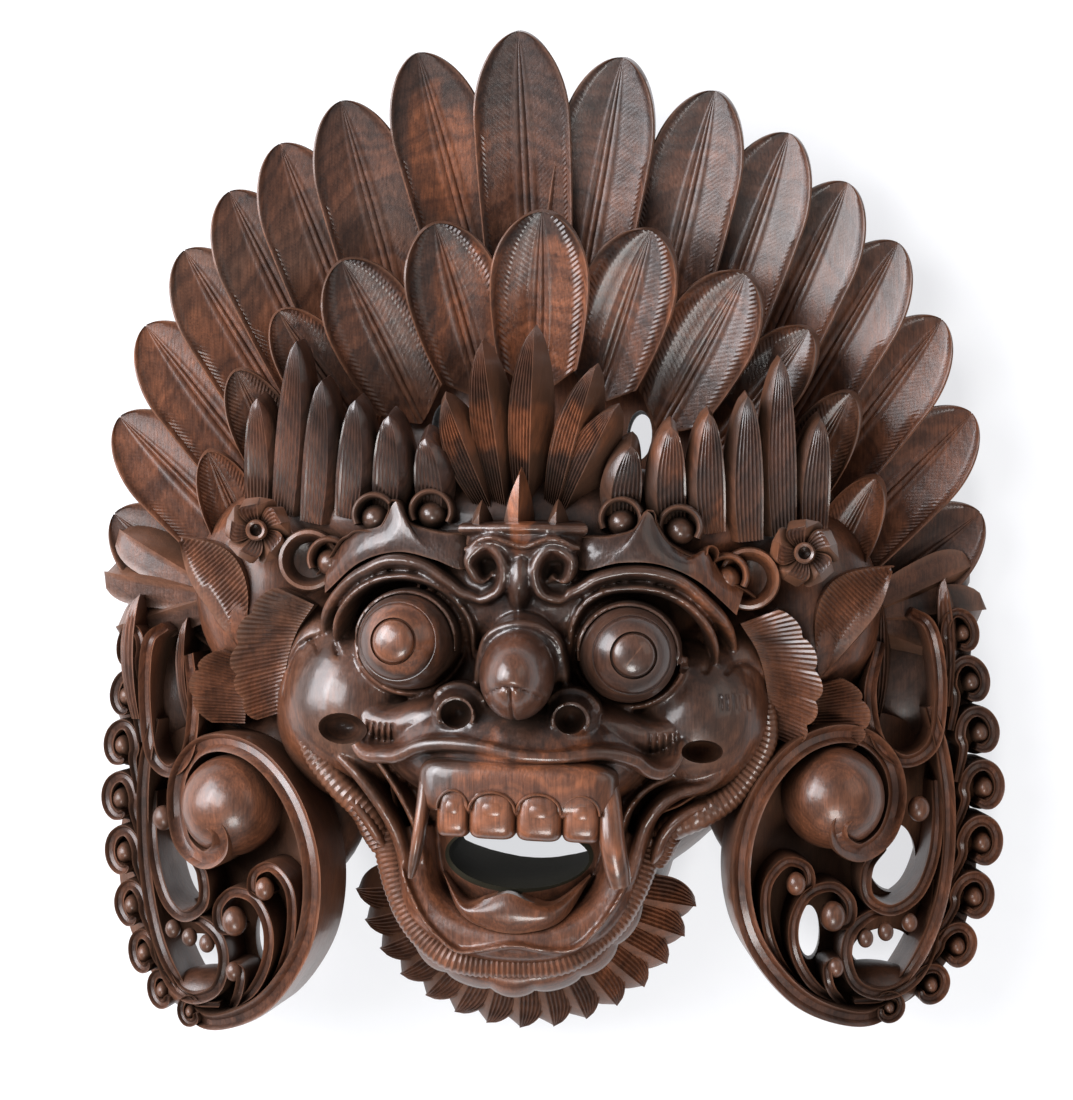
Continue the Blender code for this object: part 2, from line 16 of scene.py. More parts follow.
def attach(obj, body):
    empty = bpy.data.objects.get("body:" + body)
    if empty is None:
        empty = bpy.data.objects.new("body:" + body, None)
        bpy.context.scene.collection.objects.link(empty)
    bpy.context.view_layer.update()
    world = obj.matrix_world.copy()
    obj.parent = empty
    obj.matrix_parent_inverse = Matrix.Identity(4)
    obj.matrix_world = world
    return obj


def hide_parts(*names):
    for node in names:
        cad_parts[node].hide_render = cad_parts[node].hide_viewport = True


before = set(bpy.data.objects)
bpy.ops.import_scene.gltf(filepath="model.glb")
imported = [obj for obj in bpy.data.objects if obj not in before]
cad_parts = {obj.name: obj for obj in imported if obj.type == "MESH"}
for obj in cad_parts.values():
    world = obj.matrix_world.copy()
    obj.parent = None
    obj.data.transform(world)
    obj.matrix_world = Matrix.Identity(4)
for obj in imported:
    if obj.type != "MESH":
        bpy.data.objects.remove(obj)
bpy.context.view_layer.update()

MM = 0.001

# %% [markdown]
# ## Where the groups sit
# The carver drew the mask on a centre line, but the face leans a little one way and the ear
# ornaments a little the other way. Each group is drawn upright and then leaned as a whole, because
# upright numbers are far easier to read. `SEAT` moves the middle of the block to the world's origin.

# %% Leaning frames
SEAT = Matrix.Translation((-2.5739, -2.2885, 0.0))
FACE = SEAT @ Matrix.Rotation(radians(-2.4), 4, "Z")
EARS = SEAT @ Matrix.Translation((-2.0, 0.0, 0.0)) @ Matrix.Rotation(radians(1.2), 4, "Z")
FAN = SEAT

# %% [markdown]
# ## One way to close every form
# Feathers, scroll bands, ridges and turned balls are all a stack of rings: a section that changes
# on its way along the form. One function, `skin`, joins the rings and closes both ends, so that
# every form is a closed solid, as a carving is.

# %% Rings, paths and turned forms
def skin(rings):
    """Join a stack of rings (rows, points, xyz) and close both ends."""
    rows, count = rings.shape[:2]
    index = np.arange(rows * count).reshape(rows, count)
    low, high = index[:-1], index[1:]
    quads = np.stack([low, np.roll(low, -1, 1), np.roll(high, -1, 1), high], axis=-1)
    ends = [index[0].tolist(), index[-1][::-1].tolist()]
    return rings.reshape(-1, 3), quads.reshape(-1, 4).tolist() + ends


def smooth(points, samples):
    """A flowing line through the points."""
    knots = np.array(points, float)
    knots = np.vstack([2 * knots[0] - knots[1], knots, 2 * knots[-1] - knots[-2]])
    place = np.linspace(0.0, len(points) - 1.0, samples)
    span = np.minimum(place.astype(int), len(points) - 2)
    t = (place - span)[:, None]
    a, b, c, d = (knots[span + step] for step in range(4))
    return 0.5 * (2 * b + (c - a) * t + (2 * a - 5 * b + 4 * c - d) * t ** 2
                  + (3 * b - a - 3 * c + d) * t ** 3)


def unit(vectors):
    return vectors / np.maximum(np.linalg.norm(vectors, axis=-1, keepdims=True), 1e-9)


def moved(form, matrix):
    """Place a form with a 4 by 4 matrix."""
    points, faces = form
    turn = np.array(matrix)
    return points @ turn[:3, :3].T + turn[:3, 3], faces


def lathe(profile, segments=40):
    """Turn (radius, height) pairs round the Z axis."""
    profile = np.array(profile, float)
    angle = np.linspace(0.0, 2.0 * pi, segments, endpoint=False)
    radius, height = profile[:, :1], profile[:, 1:]
    rings = np.stack([radius * np.cos(angle), radius * np.sin(angle),
                      height + 0.0 * angle], axis=-1)
    return skin(rings)


def ball(centre, radii, segments=40, square=1.0):
    """An egg, or with a lower `square` a pillow with fuller corners."""
    tilt = np.linspace(-0.5 * pi + 0.06, 0.5 * pi - 0.06, segments // 2)
    angle = np.linspace(0.0, 2.0 * pi, segments, endpoint=False)
    full = lambda value: np.sign(value) * np.abs(value) ** square
    wide = full(np.cos(tilt))[:, None]
    rings = np.stack([wide * full(np.cos(angle)), full(np.sin(tilt))[:, None] + 0.0 * angle,
                      wide * full(np.sin(angle))], axis=-1)
    return skin(rings * np.array(radii, float) + np.array(centre, float))


def sweep(points, width, height, samples=48, ends=(1.0, 1.0), section=16,
          lines=0, line_depth=0.12, tick_pitch=0.0, tick_depth=0.0, square=0.8):
    """A rounded ridge along a path, with lines cut along it or ticks cut across it."""
    path = smooth(points, samples)
    if tick_pitch:
        step = np.linalg.norm(np.diff(path, axis=0), axis=1)
        run = np.concatenate([[0.0], np.cumsum(step)])
        rows = 2 * int(run[-1] / tick_pitch) + 1
        even = np.linspace(0.0, run[-1], rows)
        path = np.stack([np.interp(even, run, path[:, axis]) for axis in range(3)], axis=1)
    rows = len(path)
    ahead = unit(np.gradient(path, axis=0))
    side = unit(np.cross(ahead, np.array((0.0, 0.0, 1.0))))
    out = np.cross(side, ahead)
    angle = np.linspace(0.0, 2.0 * pi, section, endpoint=False)
    share = np.linspace(0.0, 1.0, rows)
    taper = np.interp(share, [0.0, 0.12, 0.88, 1.0],
                      [ends[0], 0.5 + 0.5 * ends[0], 0.5 + 0.5 * ends[1], ends[1]])[:, None]
    reach = 1.0 - line_depth * (0.5 + 0.5 * np.cos(2.0 * lines * (angle - 0.5 * pi))) * bool(lines)
    reach = reach[None, :] * (1.0 - tick_depth * (np.arange(rows) % 2))[:, None]
    full = lambda value: np.sign(value) * np.abs(value) ** square
    across = 0.5 * width * taper * full(np.cos(angle)) * reach
    lift = height * (0.5 + 0.5 * taper) * full(np.sin(angle)) * reach
    return skin(path[:, None] + side[:, None] * across[..., None] + out[:, None] * lift[..., None])


def arc(centre, radius, start, stop, height, count=12):
    """Points on part of a ring, seen from the front."""
    turns = np.radians(np.linspace(start, stop, count))
    return [(centre[0] + radius * cos(a), centre[1] + radius * sin(a), height) for a in turns]


# %% [markdown]
# ## From forms to a mesh
# Forms are gathered in a list, joined into one mesh, leaned and brought to metres. Normals are
# worked out for each closed form. Creases sharper than a chisel edge stay crisp and all the rest
# shades smoothly, as a scraped and waxed surface does.

# %% Gather and finish
crease_angle = 48.0


def gather(name, forms):
    """Join forms into one mesh object, still in millimetres."""
    points, faces, start = [], [], 0
    for form_points, form_faces in forms:
        points.append(form_points)
        faces += [[start + corner for corner in face] for face in form_faces]
        start += len(form_points)
    mesh = bpy.data.meshes.new(name)
    mesh.from_pydata(np.concatenate(points).tolist(), [], faces)
    shell = bmesh.new()
    shell.from_mesh(mesh)
    bmesh.ops.recalc_face_normals(shell, faces=shell.faces)
    shell.to_mesh(mesh)
    shell.free()
    item = bpy.data.objects.new(name, mesh)
    bpy.context.scene.collection.objects.link(item)
    return item


def bake(item):
    """Turn an object with its modifiers into a plain mesh."""
    graph = bpy.context.evaluated_depsgraph_get()
    mesh = bpy.data.meshes.new_from_object(item.evaluated_get(graph))
    item.modifiers.clear()
    item.data = mesh
    return item


def floor_cut(item):
    """Saw off what would lie below the flat back of the block."""
    shell = bmesh.new()
    shell.from_mesh(item.data)
    everything = list(shell.verts) + list(shell.edges) + list(shell.faces)
    made = bmesh.ops.bisect_plane(shell, geom=everything, dist=1e-4, plane_co=(0, 0, 0),
                                  plane_no=(0, 0, 1), clear_inner=True)
    rim = [part for part in made["geom_cut"] if isinstance(part, bmesh.types.BMEdge)]
    bmesh.ops.edgeloop_fill(shell, edges=rim)
    bmesh.ops.recalc_face_normals(shell, faces=shell.faces)
    shell.to_mesh(item.data)
    shell.free()


def finish_piece(item, place):
    """Lean a piece, bring it to metres, give it the wood and let it ride on the block."""
    item.data.validate(clean_customdata=False)
    item.data.transform(Matrix.Scale(MM, 4) @ place)
    item.data.materials.clear()
    item.data.materials.append(wood)
    item.data.shade_smooth()
    item.data.set_sharp_from_angle(angle=radians(crease_angle))
    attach(item, "root")
    corners = sum(len(face.vertices) - 2 for face in item.data.polygons)
    print(item.name, corners, "triangles")
    return item


# %% [markdown]
# ## The wood
# Dark rosewood is striped: the growth layers run through the whole block, so one orange layer of
# heartwood shows on the teeth, on the forehead leaves and again high on the feathers. A colour
# that follows a layer through the block (`z` plus a part of `y`) gives that for every piece at
# once. Fine fibres run with Y. Wax makes edges bright. Shade is painted into the deep places as a
# darker colour with some dark dust, and the inside walls are painted near black as shade.

# %% Wood, wax, dust and painted shade
layer_lean = 0.28
# Where the orange heartwood shows: middle, reach and strength, in millimetres of the whole mask
heart_spots = (((-1.0, -60.0, 84.0), (26.0, 17.0, 26.0), 0.62), ((0.0, 25.0, 70.0), (20.0, 7.0, 20.0), 0.6),
               ((-2.0, 8.0, 73.0), (4.0, 11.0, 9.0), 1.0), ((5.0, 56.0, 48.0), (32.0, 17.0, 18.0), 0.45),
               ((-23.0, 95.0, 40.0), (15.0, 14.0, 20.0), 0.5), ((43.0, -8.0, 62.0), (12.0, 15.0, 14.0), 0.5),
               ((-29.0, -22.0, 80.0), (9.0, 9.0, 12.0), 0.5), ((26.0, -100.0, 20.0), (16.0, 16.0, 24.0), 0.5),
               ((33.0, 25.0, 62.0), (9.0, 14.0, 14.0), 0.4), ((95.0, -75.0, 30.0), (22.0, 36.0, 30.0), 0.25))
layer_span = 120.0


def new_node(tree, kind, **settings):
    node = tree.nodes.new(kind)
    for name, value in settings.items():
        setattr(node, name, value)
    return node


def feed(tree, socket, value):
    """Link a socket to another node, or set it to a number, a direction or a colour."""
    if isinstance(value, bpy.types.NodeSocket):
        tree.links.new(value, socket)
    else:
        socket.default_value = (*value, 1.0) if socket.type == "RGBA" else value


def ramp(tree, source, stops):
    """Colours, or greys given as one number, along a value."""
    node = new_node(tree, "ShaderNodeValToRGB")
    feed(tree, node.inputs["Fac"], source)
    for stop, (position, colour) in enumerate(stops):
        mark = node.color_ramp.elements[stop] if stop < 2 else node.color_ramp.elements.new(position)
        mark.position = position
        mark.color = (*colour, 1.0) if isinstance(colour, tuple) else (colour, colour, colour, 1.0)
    return node.outputs["Color"]


def sums(tree, operation, first, second):
    node = new_node(tree, "ShaderNodeMath", operation=operation)
    feed(tree, node.inputs[0], first)
    feed(tree, node.inputs[1], second)
    return node.outputs["Value"]


def vectors(tree, operation, first, second=(0.0, 0.0, 0.0)):
    node = new_node(tree, "ShaderNodeVectorMath", operation=operation)
    feed(tree, node.inputs[0], first)
    feed(tree, node.inputs[1], second)
    return node.outputs["Value" if operation in ("LENGTH", "DOT_PRODUCT") else "Vector"]


def grain(tree, place, scale, detail, roughness=0.55):
    """Noise seen through a stretched copy of the block."""
    noise = new_node(tree, "ShaderNodeTexNoise")
    noise.inputs["Scale"].default_value = 1.0
    noise.inputs["Detail"].default_value = detail
    noise.inputs["Roughness"].default_value = roughness
    tree.links.new(vectors(tree, "MULTIPLY", place, scale), noise.inputs["Vector"])
    return noise.outputs["Fac"]


def tint(tree, share, first, second, blend="MULTIPLY"):
    """Lay one colour over another; a colour mix node keeps its colours in sockets 6 and 7."""
    node = new_node(tree, "ShaderNodeMix", data_type="RGBA", blend_type=blend)
    for socket, value in ((0, share), (6, first), (7, second)):
        feed(tree, node.inputs[socket], value)
    return node.outputs[2]


def near(tree, place, centre, reach):
    """How far a place lies from a centre, as a share of the reach in each direction."""
    aside = vectors(tree, "SUBTRACT", place, centre)
    return vectors(tree, "LENGTH", vectors(tree, "DIVIDE", aside, reach))


def inside_shade_share(tree, place, height):
    """1 on the walls of the hollow and of the mouth, which are painted near black as shade, with no wax
    rubbed in.
    """
    hollow = sums(tree, "LESS_THAN", near(tree, place, (-3.8, -32.3, 0.0), (49.0, 50.0, 51.0)), 1.0)
    mouth = sums(tree, "LESS_THAN", near(tree, place, (-5.2, -74.2, 0.0), (17.6, 8.3, 1000.0)), 1.0)
    low = sums(tree, "LESS_THAN", height, 57.0)
    return sums(tree, "MAXIMUM", hollow, sums(tree, "MULTIPLY", mouth, low))


def make_wood():
    made = bpy.data.materials.new("carved_wood_waxed")
    made.use_nodes = True
    tree = made.node_tree
    surface = tree.nodes["Principled BSDF"]
    times = lambda first, second: sums(tree, "MULTIPLY", first, second)
    plus = lambda first, second: sums(tree, "ADD", first, second)
    minus = lambda first, second: sums(tree, "SUBTRACT", first, second)
    where = new_node(tree, "ShaderNodeTexCoord").outputs["Object"]
    place = vectors(tree, "MULTIPLY", where, (1.0 / MM, 1.0 / MM, 1.0 / MM))
    split = new_node(tree, "ShaderNodeSeparateXYZ")
    tree.links.new(place, split.inputs["Vector"])
    height = split.outputs["Z"]

    # growth layers, wandering a little, with the orange heartwood laid over them
    drift = grain(tree, place, (0.02, 0.008, 0.03), 2.0)
    wander = grain(tree, place, (0.10, 0.02, 0.10), 3.0)
    layer = vectors(tree, "DOT_PRODUCT", place, (0.0, layer_lean, 1.0))
    layers = minus(plus(plus(layer, times(drift, 16.0)), times(wander, 5.0)), 10.0)
    colour = ramp(tree, sums(tree, "DIVIDE", layers, layer_span), (
        (0.00, (0.070, 0.029, 0.016)), (1.00, (0.095, 0.034, 0.016)),
        (0.12, (0.052, 0.024, 0.015)), (0.22, (0.112, 0.041, 0.020)),
        (0.34, (0.108, 0.039, 0.018)), (0.42, (0.060, 0.028, 0.017)),
        (0.49, (0.082, 0.031, 0.016)), (0.56, (0.036, 0.016, 0.010)),
        (0.63, (0.038, 0.017, 0.011)), (0.72, (0.086, 0.031, 0.015)), (0.84, (0.055, 0.025, 0.016))))
    ragged = times(minus(wander, 0.5), 2.4)
    glow = 0.0
    for centre, reach, strength in heart_spots:
        close = plus(minus(1.0, near(tree, place, centre, reach)), ragged)
        lit = times(ramp(tree, close, ((0.0, 0.0), (0.28, 1.0))), strength)
        glow = sums(tree, "MAXIMUM", glow, lit)
    colour = tint(tree, glow, colour, (0.215, 0.070, 0.027), "MIX")

    # stripes of one layer, fibres, pores and patches of wear
    stripe_place = new_node(tree, "ShaderNodeCombineXYZ")
    tree.links.new(layers, stripe_place.inputs["Z"])
    stripes = grain(tree, stripe_place.outputs["Vector"], (1.0, 1.0, 0.55), 4.0, 0.7)
    fibres = grain(tree, place, (2.2, 0.10, 2.2), 5.0, 0.6)
    pores = grain(tree, place, (5.0, 0.35, 5.0), 2.0)
    wear = grain(tree, place, (0.16, 0.11, 0.16), 4.0, 0.65)
    for share, pattern, stops in (
            (0.75, stripes, ((0.40, (0.42, 0.40, 0.42)), (0.56, 1.0))),
            (0.85, fibres, ((0.30, (0.50, 0.48, 0.48)), (0.68, (1.38, 1.34, 1.32)))),
            (0.6, pores, ((0.30, (0.35, 0.33, 0.33)), (0.40, 1.0))),
            (0.8, wear, ((0.36, (0.48, 0.46, 0.45)), (0.64, (1.34, 1.30, 1.26))))):
        colour = tint(tree, share, colour, ramp(tree, pattern, stops))

    # bright edges; painted shade in the valleys, partly as dark dust; the walls inside painted near black as
    # shade
    bend = new_node(tree, "ShaderNodeNewGeometry").outputs["Pointiness"]
    edges = ramp(tree, bend, ((0.50, 0.0), (0.58, 1.0)))
    colour = tint(tree, times(edges, 0.26), colour, (0.225, 0.105, 0.060), "MIX")
    shade = new_node(tree, "ShaderNodeAmbientOcclusion", samples=6)
    shade.inputs["Distance"].default_value = 11.0 * MM
    deep = ramp(tree, shade.outputs["AO"], ((0.15, 1.0), (0.62, 0.0)))
    dust_and_shade = times(times(deep, grain(tree, place, (0.25, 0.25, 0.25), 4.0)), 0.40)
    # painted shade: the colour is darkened where ambient occlusion finds a recess
    colour = tint(tree, times(deep, 0.72), colour, (0.20, 0.18, 0.17))
    # dust and painted shade: a near-black colour mixed into the same recesses, broken up by noise
    colour = tint(tree, dust_and_shade, colour, (0.030, 0.026, 0.018), "MIX")
    # painted shade: the walls of the hollow and of the mouth are painted near black
    inside_shade = inside_shade_share(tree, place, height)
    colour = tint(tree, inside_shade, colour, (0.020, 0.018, 0.012), "MIX")
    tree.links.new(colour, surface.inputs["Base Color"])

    # wax: most on the high carving, none where the cloth doesn't reach
    dull = sums(tree, "MAXIMUM", deep, inside_shade)
    gloss = plus(plus(times(fibres, 0.24), 0.24), times(dull, 0.5))
    tree.links.new(gloss, surface.inputs["Roughness"])
    rubbed = ramp(tree, sums(tree, "DIVIDE", height, 100.0), ((0.36, 0.10), (0.66, 0.50)))
    bare = minus(1.0, dull)
    tree.links.new(times(rubbed, bare), surface.inputs["Coat Weight"])
    surface.inputs["Coat Roughness"].default_value = 0.15
    tree.links.new(plus(times(bare, 0.36), 0.05), surface.inputs["Specular IOR Level"])
    bump = new_node(tree, "ShaderNodeBump")
    bump.inputs["Strength"].default_value = 0.22
    bump.inputs["Distance"].default_value = 0.5 * MM
    relief = plus(times(fibres, 0.35), grain(tree, place, (0.35, 0.35, 0.35), 3.0))
    tree.links.new(relief, bump.inputs["Height"])
    tree.links.new(bump.outputs["Normal"], surface.inputs["Normal"])
    return made


wood = make_wood()
print("wood nodes", len(wood.node_tree.nodes))

# %% [markdown]
# ## Setting out repeated carving
# Feathers and leaves repeat round a centre. One pattern is carved with care, and a Geometry Nodes
# tree sets a copy on every point of a layout, turned and stretched by numbers kept on the point.
# Hand placing would work too, but the layout can be changed in one place this way.

# %% The setting-out tree
def setting_tree():
    tree = bpy.data.node_groups.new("set_out_carving", "GeometryNodeTree")
    for name, way, kind in (("Layout", "INPUT", "Geometry"), ("Pattern", "INPUT", "Object"),
                            ("Finish", "INPUT", "Material"), ("Carving", "OUTPUT", "Geometry")):
        tree.interface.new_socket(name, in_out=way, socket_type="NodeSocket" + kind)
    given = new_node(tree, "NodeGroupInput")
    result = new_node(tree, "NodeGroupOutput")
    pattern = new_node(tree, "GeometryNodeObjectInfo")
    turn, stretch = (new_node(tree, "GeometryNodeInputNamedAttribute", data_type="FLOAT_VECTOR")
                     for _ in range(2))
    turn.inputs["Name"].default_value = "turn"
    stretch.inputs["Name"].default_value = "stretch"
    copies = new_node(tree, "GeometryNodeInstanceOnPoints")
    real = new_node(tree, "GeometryNodeRealizeInstances")
    finish = new_node(tree, "GeometryNodeSetMaterial")
    for source, target in (
            (given.outputs["Layout"], copies.inputs["Points"]),
            (given.outputs["Pattern"], pattern.inputs["Object"]),
            (pattern.outputs["Geometry"], copies.inputs["Instance"]),
            (turn.outputs["Attribute"], copies.inputs["Rotation"]),
            (stretch.outputs["Attribute"], copies.inputs["Scale"]),
            (copies.outputs["Instances"], real.inputs["Geometry"]),
            (real.outputs["Geometry"], finish.inputs["Geometry"]),
            (given.outputs["Finish"], finish.inputs["Material"]),
            (finish.outputs["Geometry"], result.inputs["Carving"])):
        tree.links.new(source, target)
    return tree


SETTING_TREE = setting_tree()


def set_out(name, pattern_form, places):
    """Copy one pattern to every place (a list of matrices) and return the plain mesh."""
    pattern = gather(name + "_pattern", [pattern_form])
    layout = bpy.data.meshes.new(name + "_layout")
    layout.from_pydata([tuple(place.translation) for place in places], [], [])
    parts = [place.decompose() for place in places]
    turns = layout.attributes.new("turn", "FLOAT_VECTOR", "POINT")
    turns.data.foreach_set("vector", [v for _, turn, _ in parts for v in turn.to_euler()])
    sizes = layout.attributes.new("stretch", "FLOAT_VECTOR", "POINT")
    sizes.data.foreach_set("vector", [v for _, _, size in parts for v in size])
    item = bpy.data.objects.new(name, layout)
    bpy.context.scene.collection.objects.link(item)
    step = item.modifiers.new("set_out", "NODES")
    step.node_group = SETTING_TREE
    values = {"Pattern": pattern, "Finish": wood}
    for socket in SETTING_TREE.interface.items_tree:
        if socket.in_out == "INPUT" and socket.name in values:
            step[socket.identifier] = values[socket.name]
    bake(item)
    bpy.data.objects.remove(pattern, do_unlink=True)
    for attribute in ("turn", "stretch"):
        if attribute in item.data.attributes:
            item.data.attributes.remove(item.data.attributes[attribute])
    return item


def leaf_place(root, tip, length, width, roll=0.0, facing=(0.0, 0.0, 1.0)):
    """The matrix that lays a pattern of unit width and length from root to tip."""
    root, along = Vector(root), Vector(tip) - Vector(root)
    axis = along.normalized()
    across = axis.cross(Vector(facing)).normalized()
    across.rotate(Matrix.Rotation(radians(roll), 3, axis))
    out = across.cross(axis)
    turn = Matrix((across, axis, out)).transposed().to_4x4()
    return Matrix.Translation(root) @ turn @ Matrix.Diagonal((width, along.length / length, 1.0, 1.0))


# %% [markdown]
# ## The feather pattern
# A carved feather is a long rounded leaf: its edges stand up a little, a double line runs down the
# middle and fine barbs slant away from it. The rows of the grid lie along the barbs, so two rows
# make one barb and every line is real relief without a huge mesh.

# %% Feather
feather_columns = (0.0, 0.035, 0.075, 0.12, 0.20, 0.24, 0.30, 0.45, 0.62, 0.78, 0.88, 0.93, 0.97, 1.0)
barb_strength = ((0.24, 0.45, 0.75, 0.88, 0.94), (0.0, 0.7, 1.0, 0.9, 0.0))


def outline_share(t, stem, belly, point):
    """Half width along a leaf as a share of the widest place."""
    rise = stem + (1.0 - stem) * np.sin(0.5 * pi * np.clip(t / belly, 0.0, 1.0))
    fall = np.maximum(1.0 - np.clip((t - belly) / (1.0 - belly), 0.0, 1.0) ** 2, 0.0) ** point
    return np.where(t < belly, rise, np.maximum(fall, 0.015))


def feather(length, width, thickness, cup, barb_pitch=1.2, barb_depth=0.21, slant=0.95,
            stem=0.84, belly=0.7, point=0.56, curl=0.5, edge=0.6):
    """One feather: X across, Y from root to tip, Z out."""
    dense = np.linspace(0.0, 1.0, 400)
    half = 0.5 * width * outline_share(dense, stem, belly, point)
    edge_y = length * dense
    rib_y = edge_y - slant * half
    rows = 2 * int(length / barb_pitch) + 1
    rib = np.linspace(0.0, rib_y[-1], rows)
    outer = np.interp(rib, rib_y, edge_y)
    reach = np.interp(outer, edge_y, half)
    columns = np.array([-s for s in feather_columns[:0:-1]] + list(feather_columns))
    s = np.abs(columns)[None, :]
    barb = barb_depth * ((np.arange(rows) % 2) - 0.5)[:, None]
    barb = barb * np.interp(s, *barb_strength)
    share = (reach / (0.5 * width))[:, None]
    rib_line = np.interp(s, [0.0, 0.035, 0.075, 0.12, 0.2, 0.24, 0.3],
                         [0.26, 0.20, -0.24, 0.08, 0.0, -0.15, 0.0])
    lip = edge * np.interp(s, [0.0, 0.88, 0.93, 0.97, 1.0], [0.0, 0.0, 0.85, 1.0, 0.35])
    t = (outer / length)[:, None]
    z = cup * s ** 2 * share + curl * t ** 2 + barb + rib_line * share + lip
    y = rib[:, None] + (outer - rib)[:, None] * s ** 1.2
    top = np.stack([columns[None, :] * reach[:, None], y + 0.0 * columns[None, :], z], axis=-1)
    under = np.array([1.0, 0.0, -1.0])
    low = np.stack([under[None, :] * reach[:, None] * 0.94,
                    rib[:, None] + (outer - rib)[:, None] * np.abs(under) ** 1.2,
                    (cup * under ** 2)[None, :] * share + curl * t ** 2 - thickness], axis=-1)
    return skin(np.concatenate([top, low], axis=1))


# %% [markdown]
# ## The back fan
# Seventeen feathers spread from a centre behind the brow. They bunch a little, as hand-set carving
# does, the crest feather stands highest, and towards the sides the tips sink back.

# %% Seventeen feathers
fan_centre = 10.0
fan_side = 8
fan_length = 67.0
lean_share = 0.58
fan_width = 23.4


def fan_places():
    places = []
    for index in range(-fan_side, fan_side + 1):
        spread = 11.15 * index + 2.2 * sin(2.0 * pi * index / 7.3)
        angle = radians(90.0 - spread + 1.7 * exp(-(index / 2.5) ** 2))
        reach = 109.0 + 5.9 * exp(-(index + 0.4) ** 2)
        side_share = (abs(index) / fan_side) ** 1.3
        tip = (reach * cos(angle), fan_centre + reach * sin(angle), 43.0 - 29.0 * side_share)
        lean = radians(90.0 - lean_share * spread) if abs(index) > 1 else angle
        root = (tip[0] - fan_length * cos(lean), tip[1] - fan_length * sin(lean), 24.0 - 6.0 * side_share)
        roll = 0.0 if index == 0 else (7.0 if index < 0 else -7.0)
        places.append(leaf_place(root, tip, fan_length, 1.0, roll))
    return places


fan = set_out("feather_fan", feather(fan_length, fan_width, 4.3, 2.2), fan_places())
finish_piece(fan, FAN)

# %% [markdown]
# ## The second row
# Eleven broader, rounder feathers stand in front of the fan, over the brow. Their barbs are cut
# deeper, so the same pattern is used with a coarser pitch.

# %% Eleven feathers
row_angles = (0.0, 21.2, 40.1, 54.8, 67.7, 82.5)
row_widths = (23.5, 23.0, 22.5, 18.0, 16.0, 15.0)
row_leans = (0.0, 17.0, 27.0, 36.0, 27.0, 24.0)
row_length = 42.0
row_width = 22.0


def row_places():
    places = []
    for index, (spread, lean, width) in enumerate(zip(row_angles, row_leans, row_widths)):
        for side in ((1,) if index == 0 else (-1, 1)):
            angle, slant = radians(90.0 - side * spread), radians(90.0 - side * lean)
            reach = 69.0 + 13.0 * sin(radians(spread)) ** 2
            top = 56.0 - 20.0 * index / 5.0
            tip = (reach * cos(angle), fan_centre + reach * sin(angle), top)
            root = (tip[0] - row_length * cos(slant), tip[1] - row_length * sin(slant), top - 12.0)
            places.append(leaf_place(root, tip, row_length, width / row_width,
                                     -6.0 * side * bool(index)))
    return places


row_pattern = feather(row_length, row_width, 4.5, 2.8, barb_pitch=1.25, barb_depth=0.27, slant=0.8,
                      stem=0.66, belly=0.62, point=0.5, edge=0.8)
second_row = set_out("second_feathers", row_pattern, row_places())
finish_piece(second_row, FACE)


# %% [markdown]
# ## The head
# The skull, cheeks, muzzle and chin are plain round masses that a carver would rough out first.
# Here they are eggs fused by a voxel remesh, which leaves the soft valleys of real carving where
# two masses meet. Modelling one surface by hand would take far longer for the same flow.

# %% Rough masses
head_grain = 0.5


def on_both(make):
    return [form for side in (-1, 1) for form in make(side)]


def head_masses():
    masses = [
        ball((0, -28, 0), (62, 61, 64), 96), ball((0, -70, 0), (37, 37, 56), 80),
        ball((0, -46, 49.2), (33, 16, 32.8), 64), ball((0, -10, 46.5), (28, 18, 24.5), 64),
        ball((0, -1, 39.6), (48, 13, 27.0), 64), ball((0, -87, 34), (27, 15, 18), 64),
        ball((0, 2, 22), (74, 60, 10), 80), ball((0, 6, 40), (60, 16, 24), 64),
        ball((0.9, -24.5, 70), (9.4, 10.5, 12), 48)]
    masses += on_both(lambda side: [
        ball((side * 40, -38, 32), (22, 25.3, 32), 64),
        ball((side * 48, -30, 34), (13, 20, 22), 48),
        ball((side * 64, -12, 28), (20, 26, 17), 48),
        ball((side * 12.9, -36.8, 72), (6.0, 5.8, 7.4), 40),
        sweep([(side * 10, -36, 63), (side * 20, -39, 63), (side * 29, -41.5, 59), (side * 38, -39, 53)],
              13, 9, ends=(0.5, 0.4), section=24, square=1.0)])
    return masses


def voxel_fuse(item, size):
    step = item.modifiers.new("fuse", "REMESH")
    step.mode = "VOXEL"
    step.voxel_size = size
    return bake(item)


def cut_away(item, forms):
    """Take closed forms out of a piece."""
    tool = gather("chisel", forms)
    step = item.modifiers.new("cut", "BOOLEAN")
    step.operation = "DIFFERENCE"
    step.solver = "MANIFOLD"
    step.object = tool
    bake(item)
    bpy.data.objects.remove(tool, do_unlink=True)


# %% [markdown]
# ## Brows, lids and folds
# On the real face each of these is a standing ridge between two soft V cuts, worn round by
# polishing. A swept ridge that runs down into the head is fused with it at half a millimetre, which
# leaves that worn valley. The z of each point is the ridge's top.

# %% Ridges of the face
def ridge(points, width, depth, **options):
    return sweep([(x, y, z - depth) for x, y, z in points], width, depth, **options)


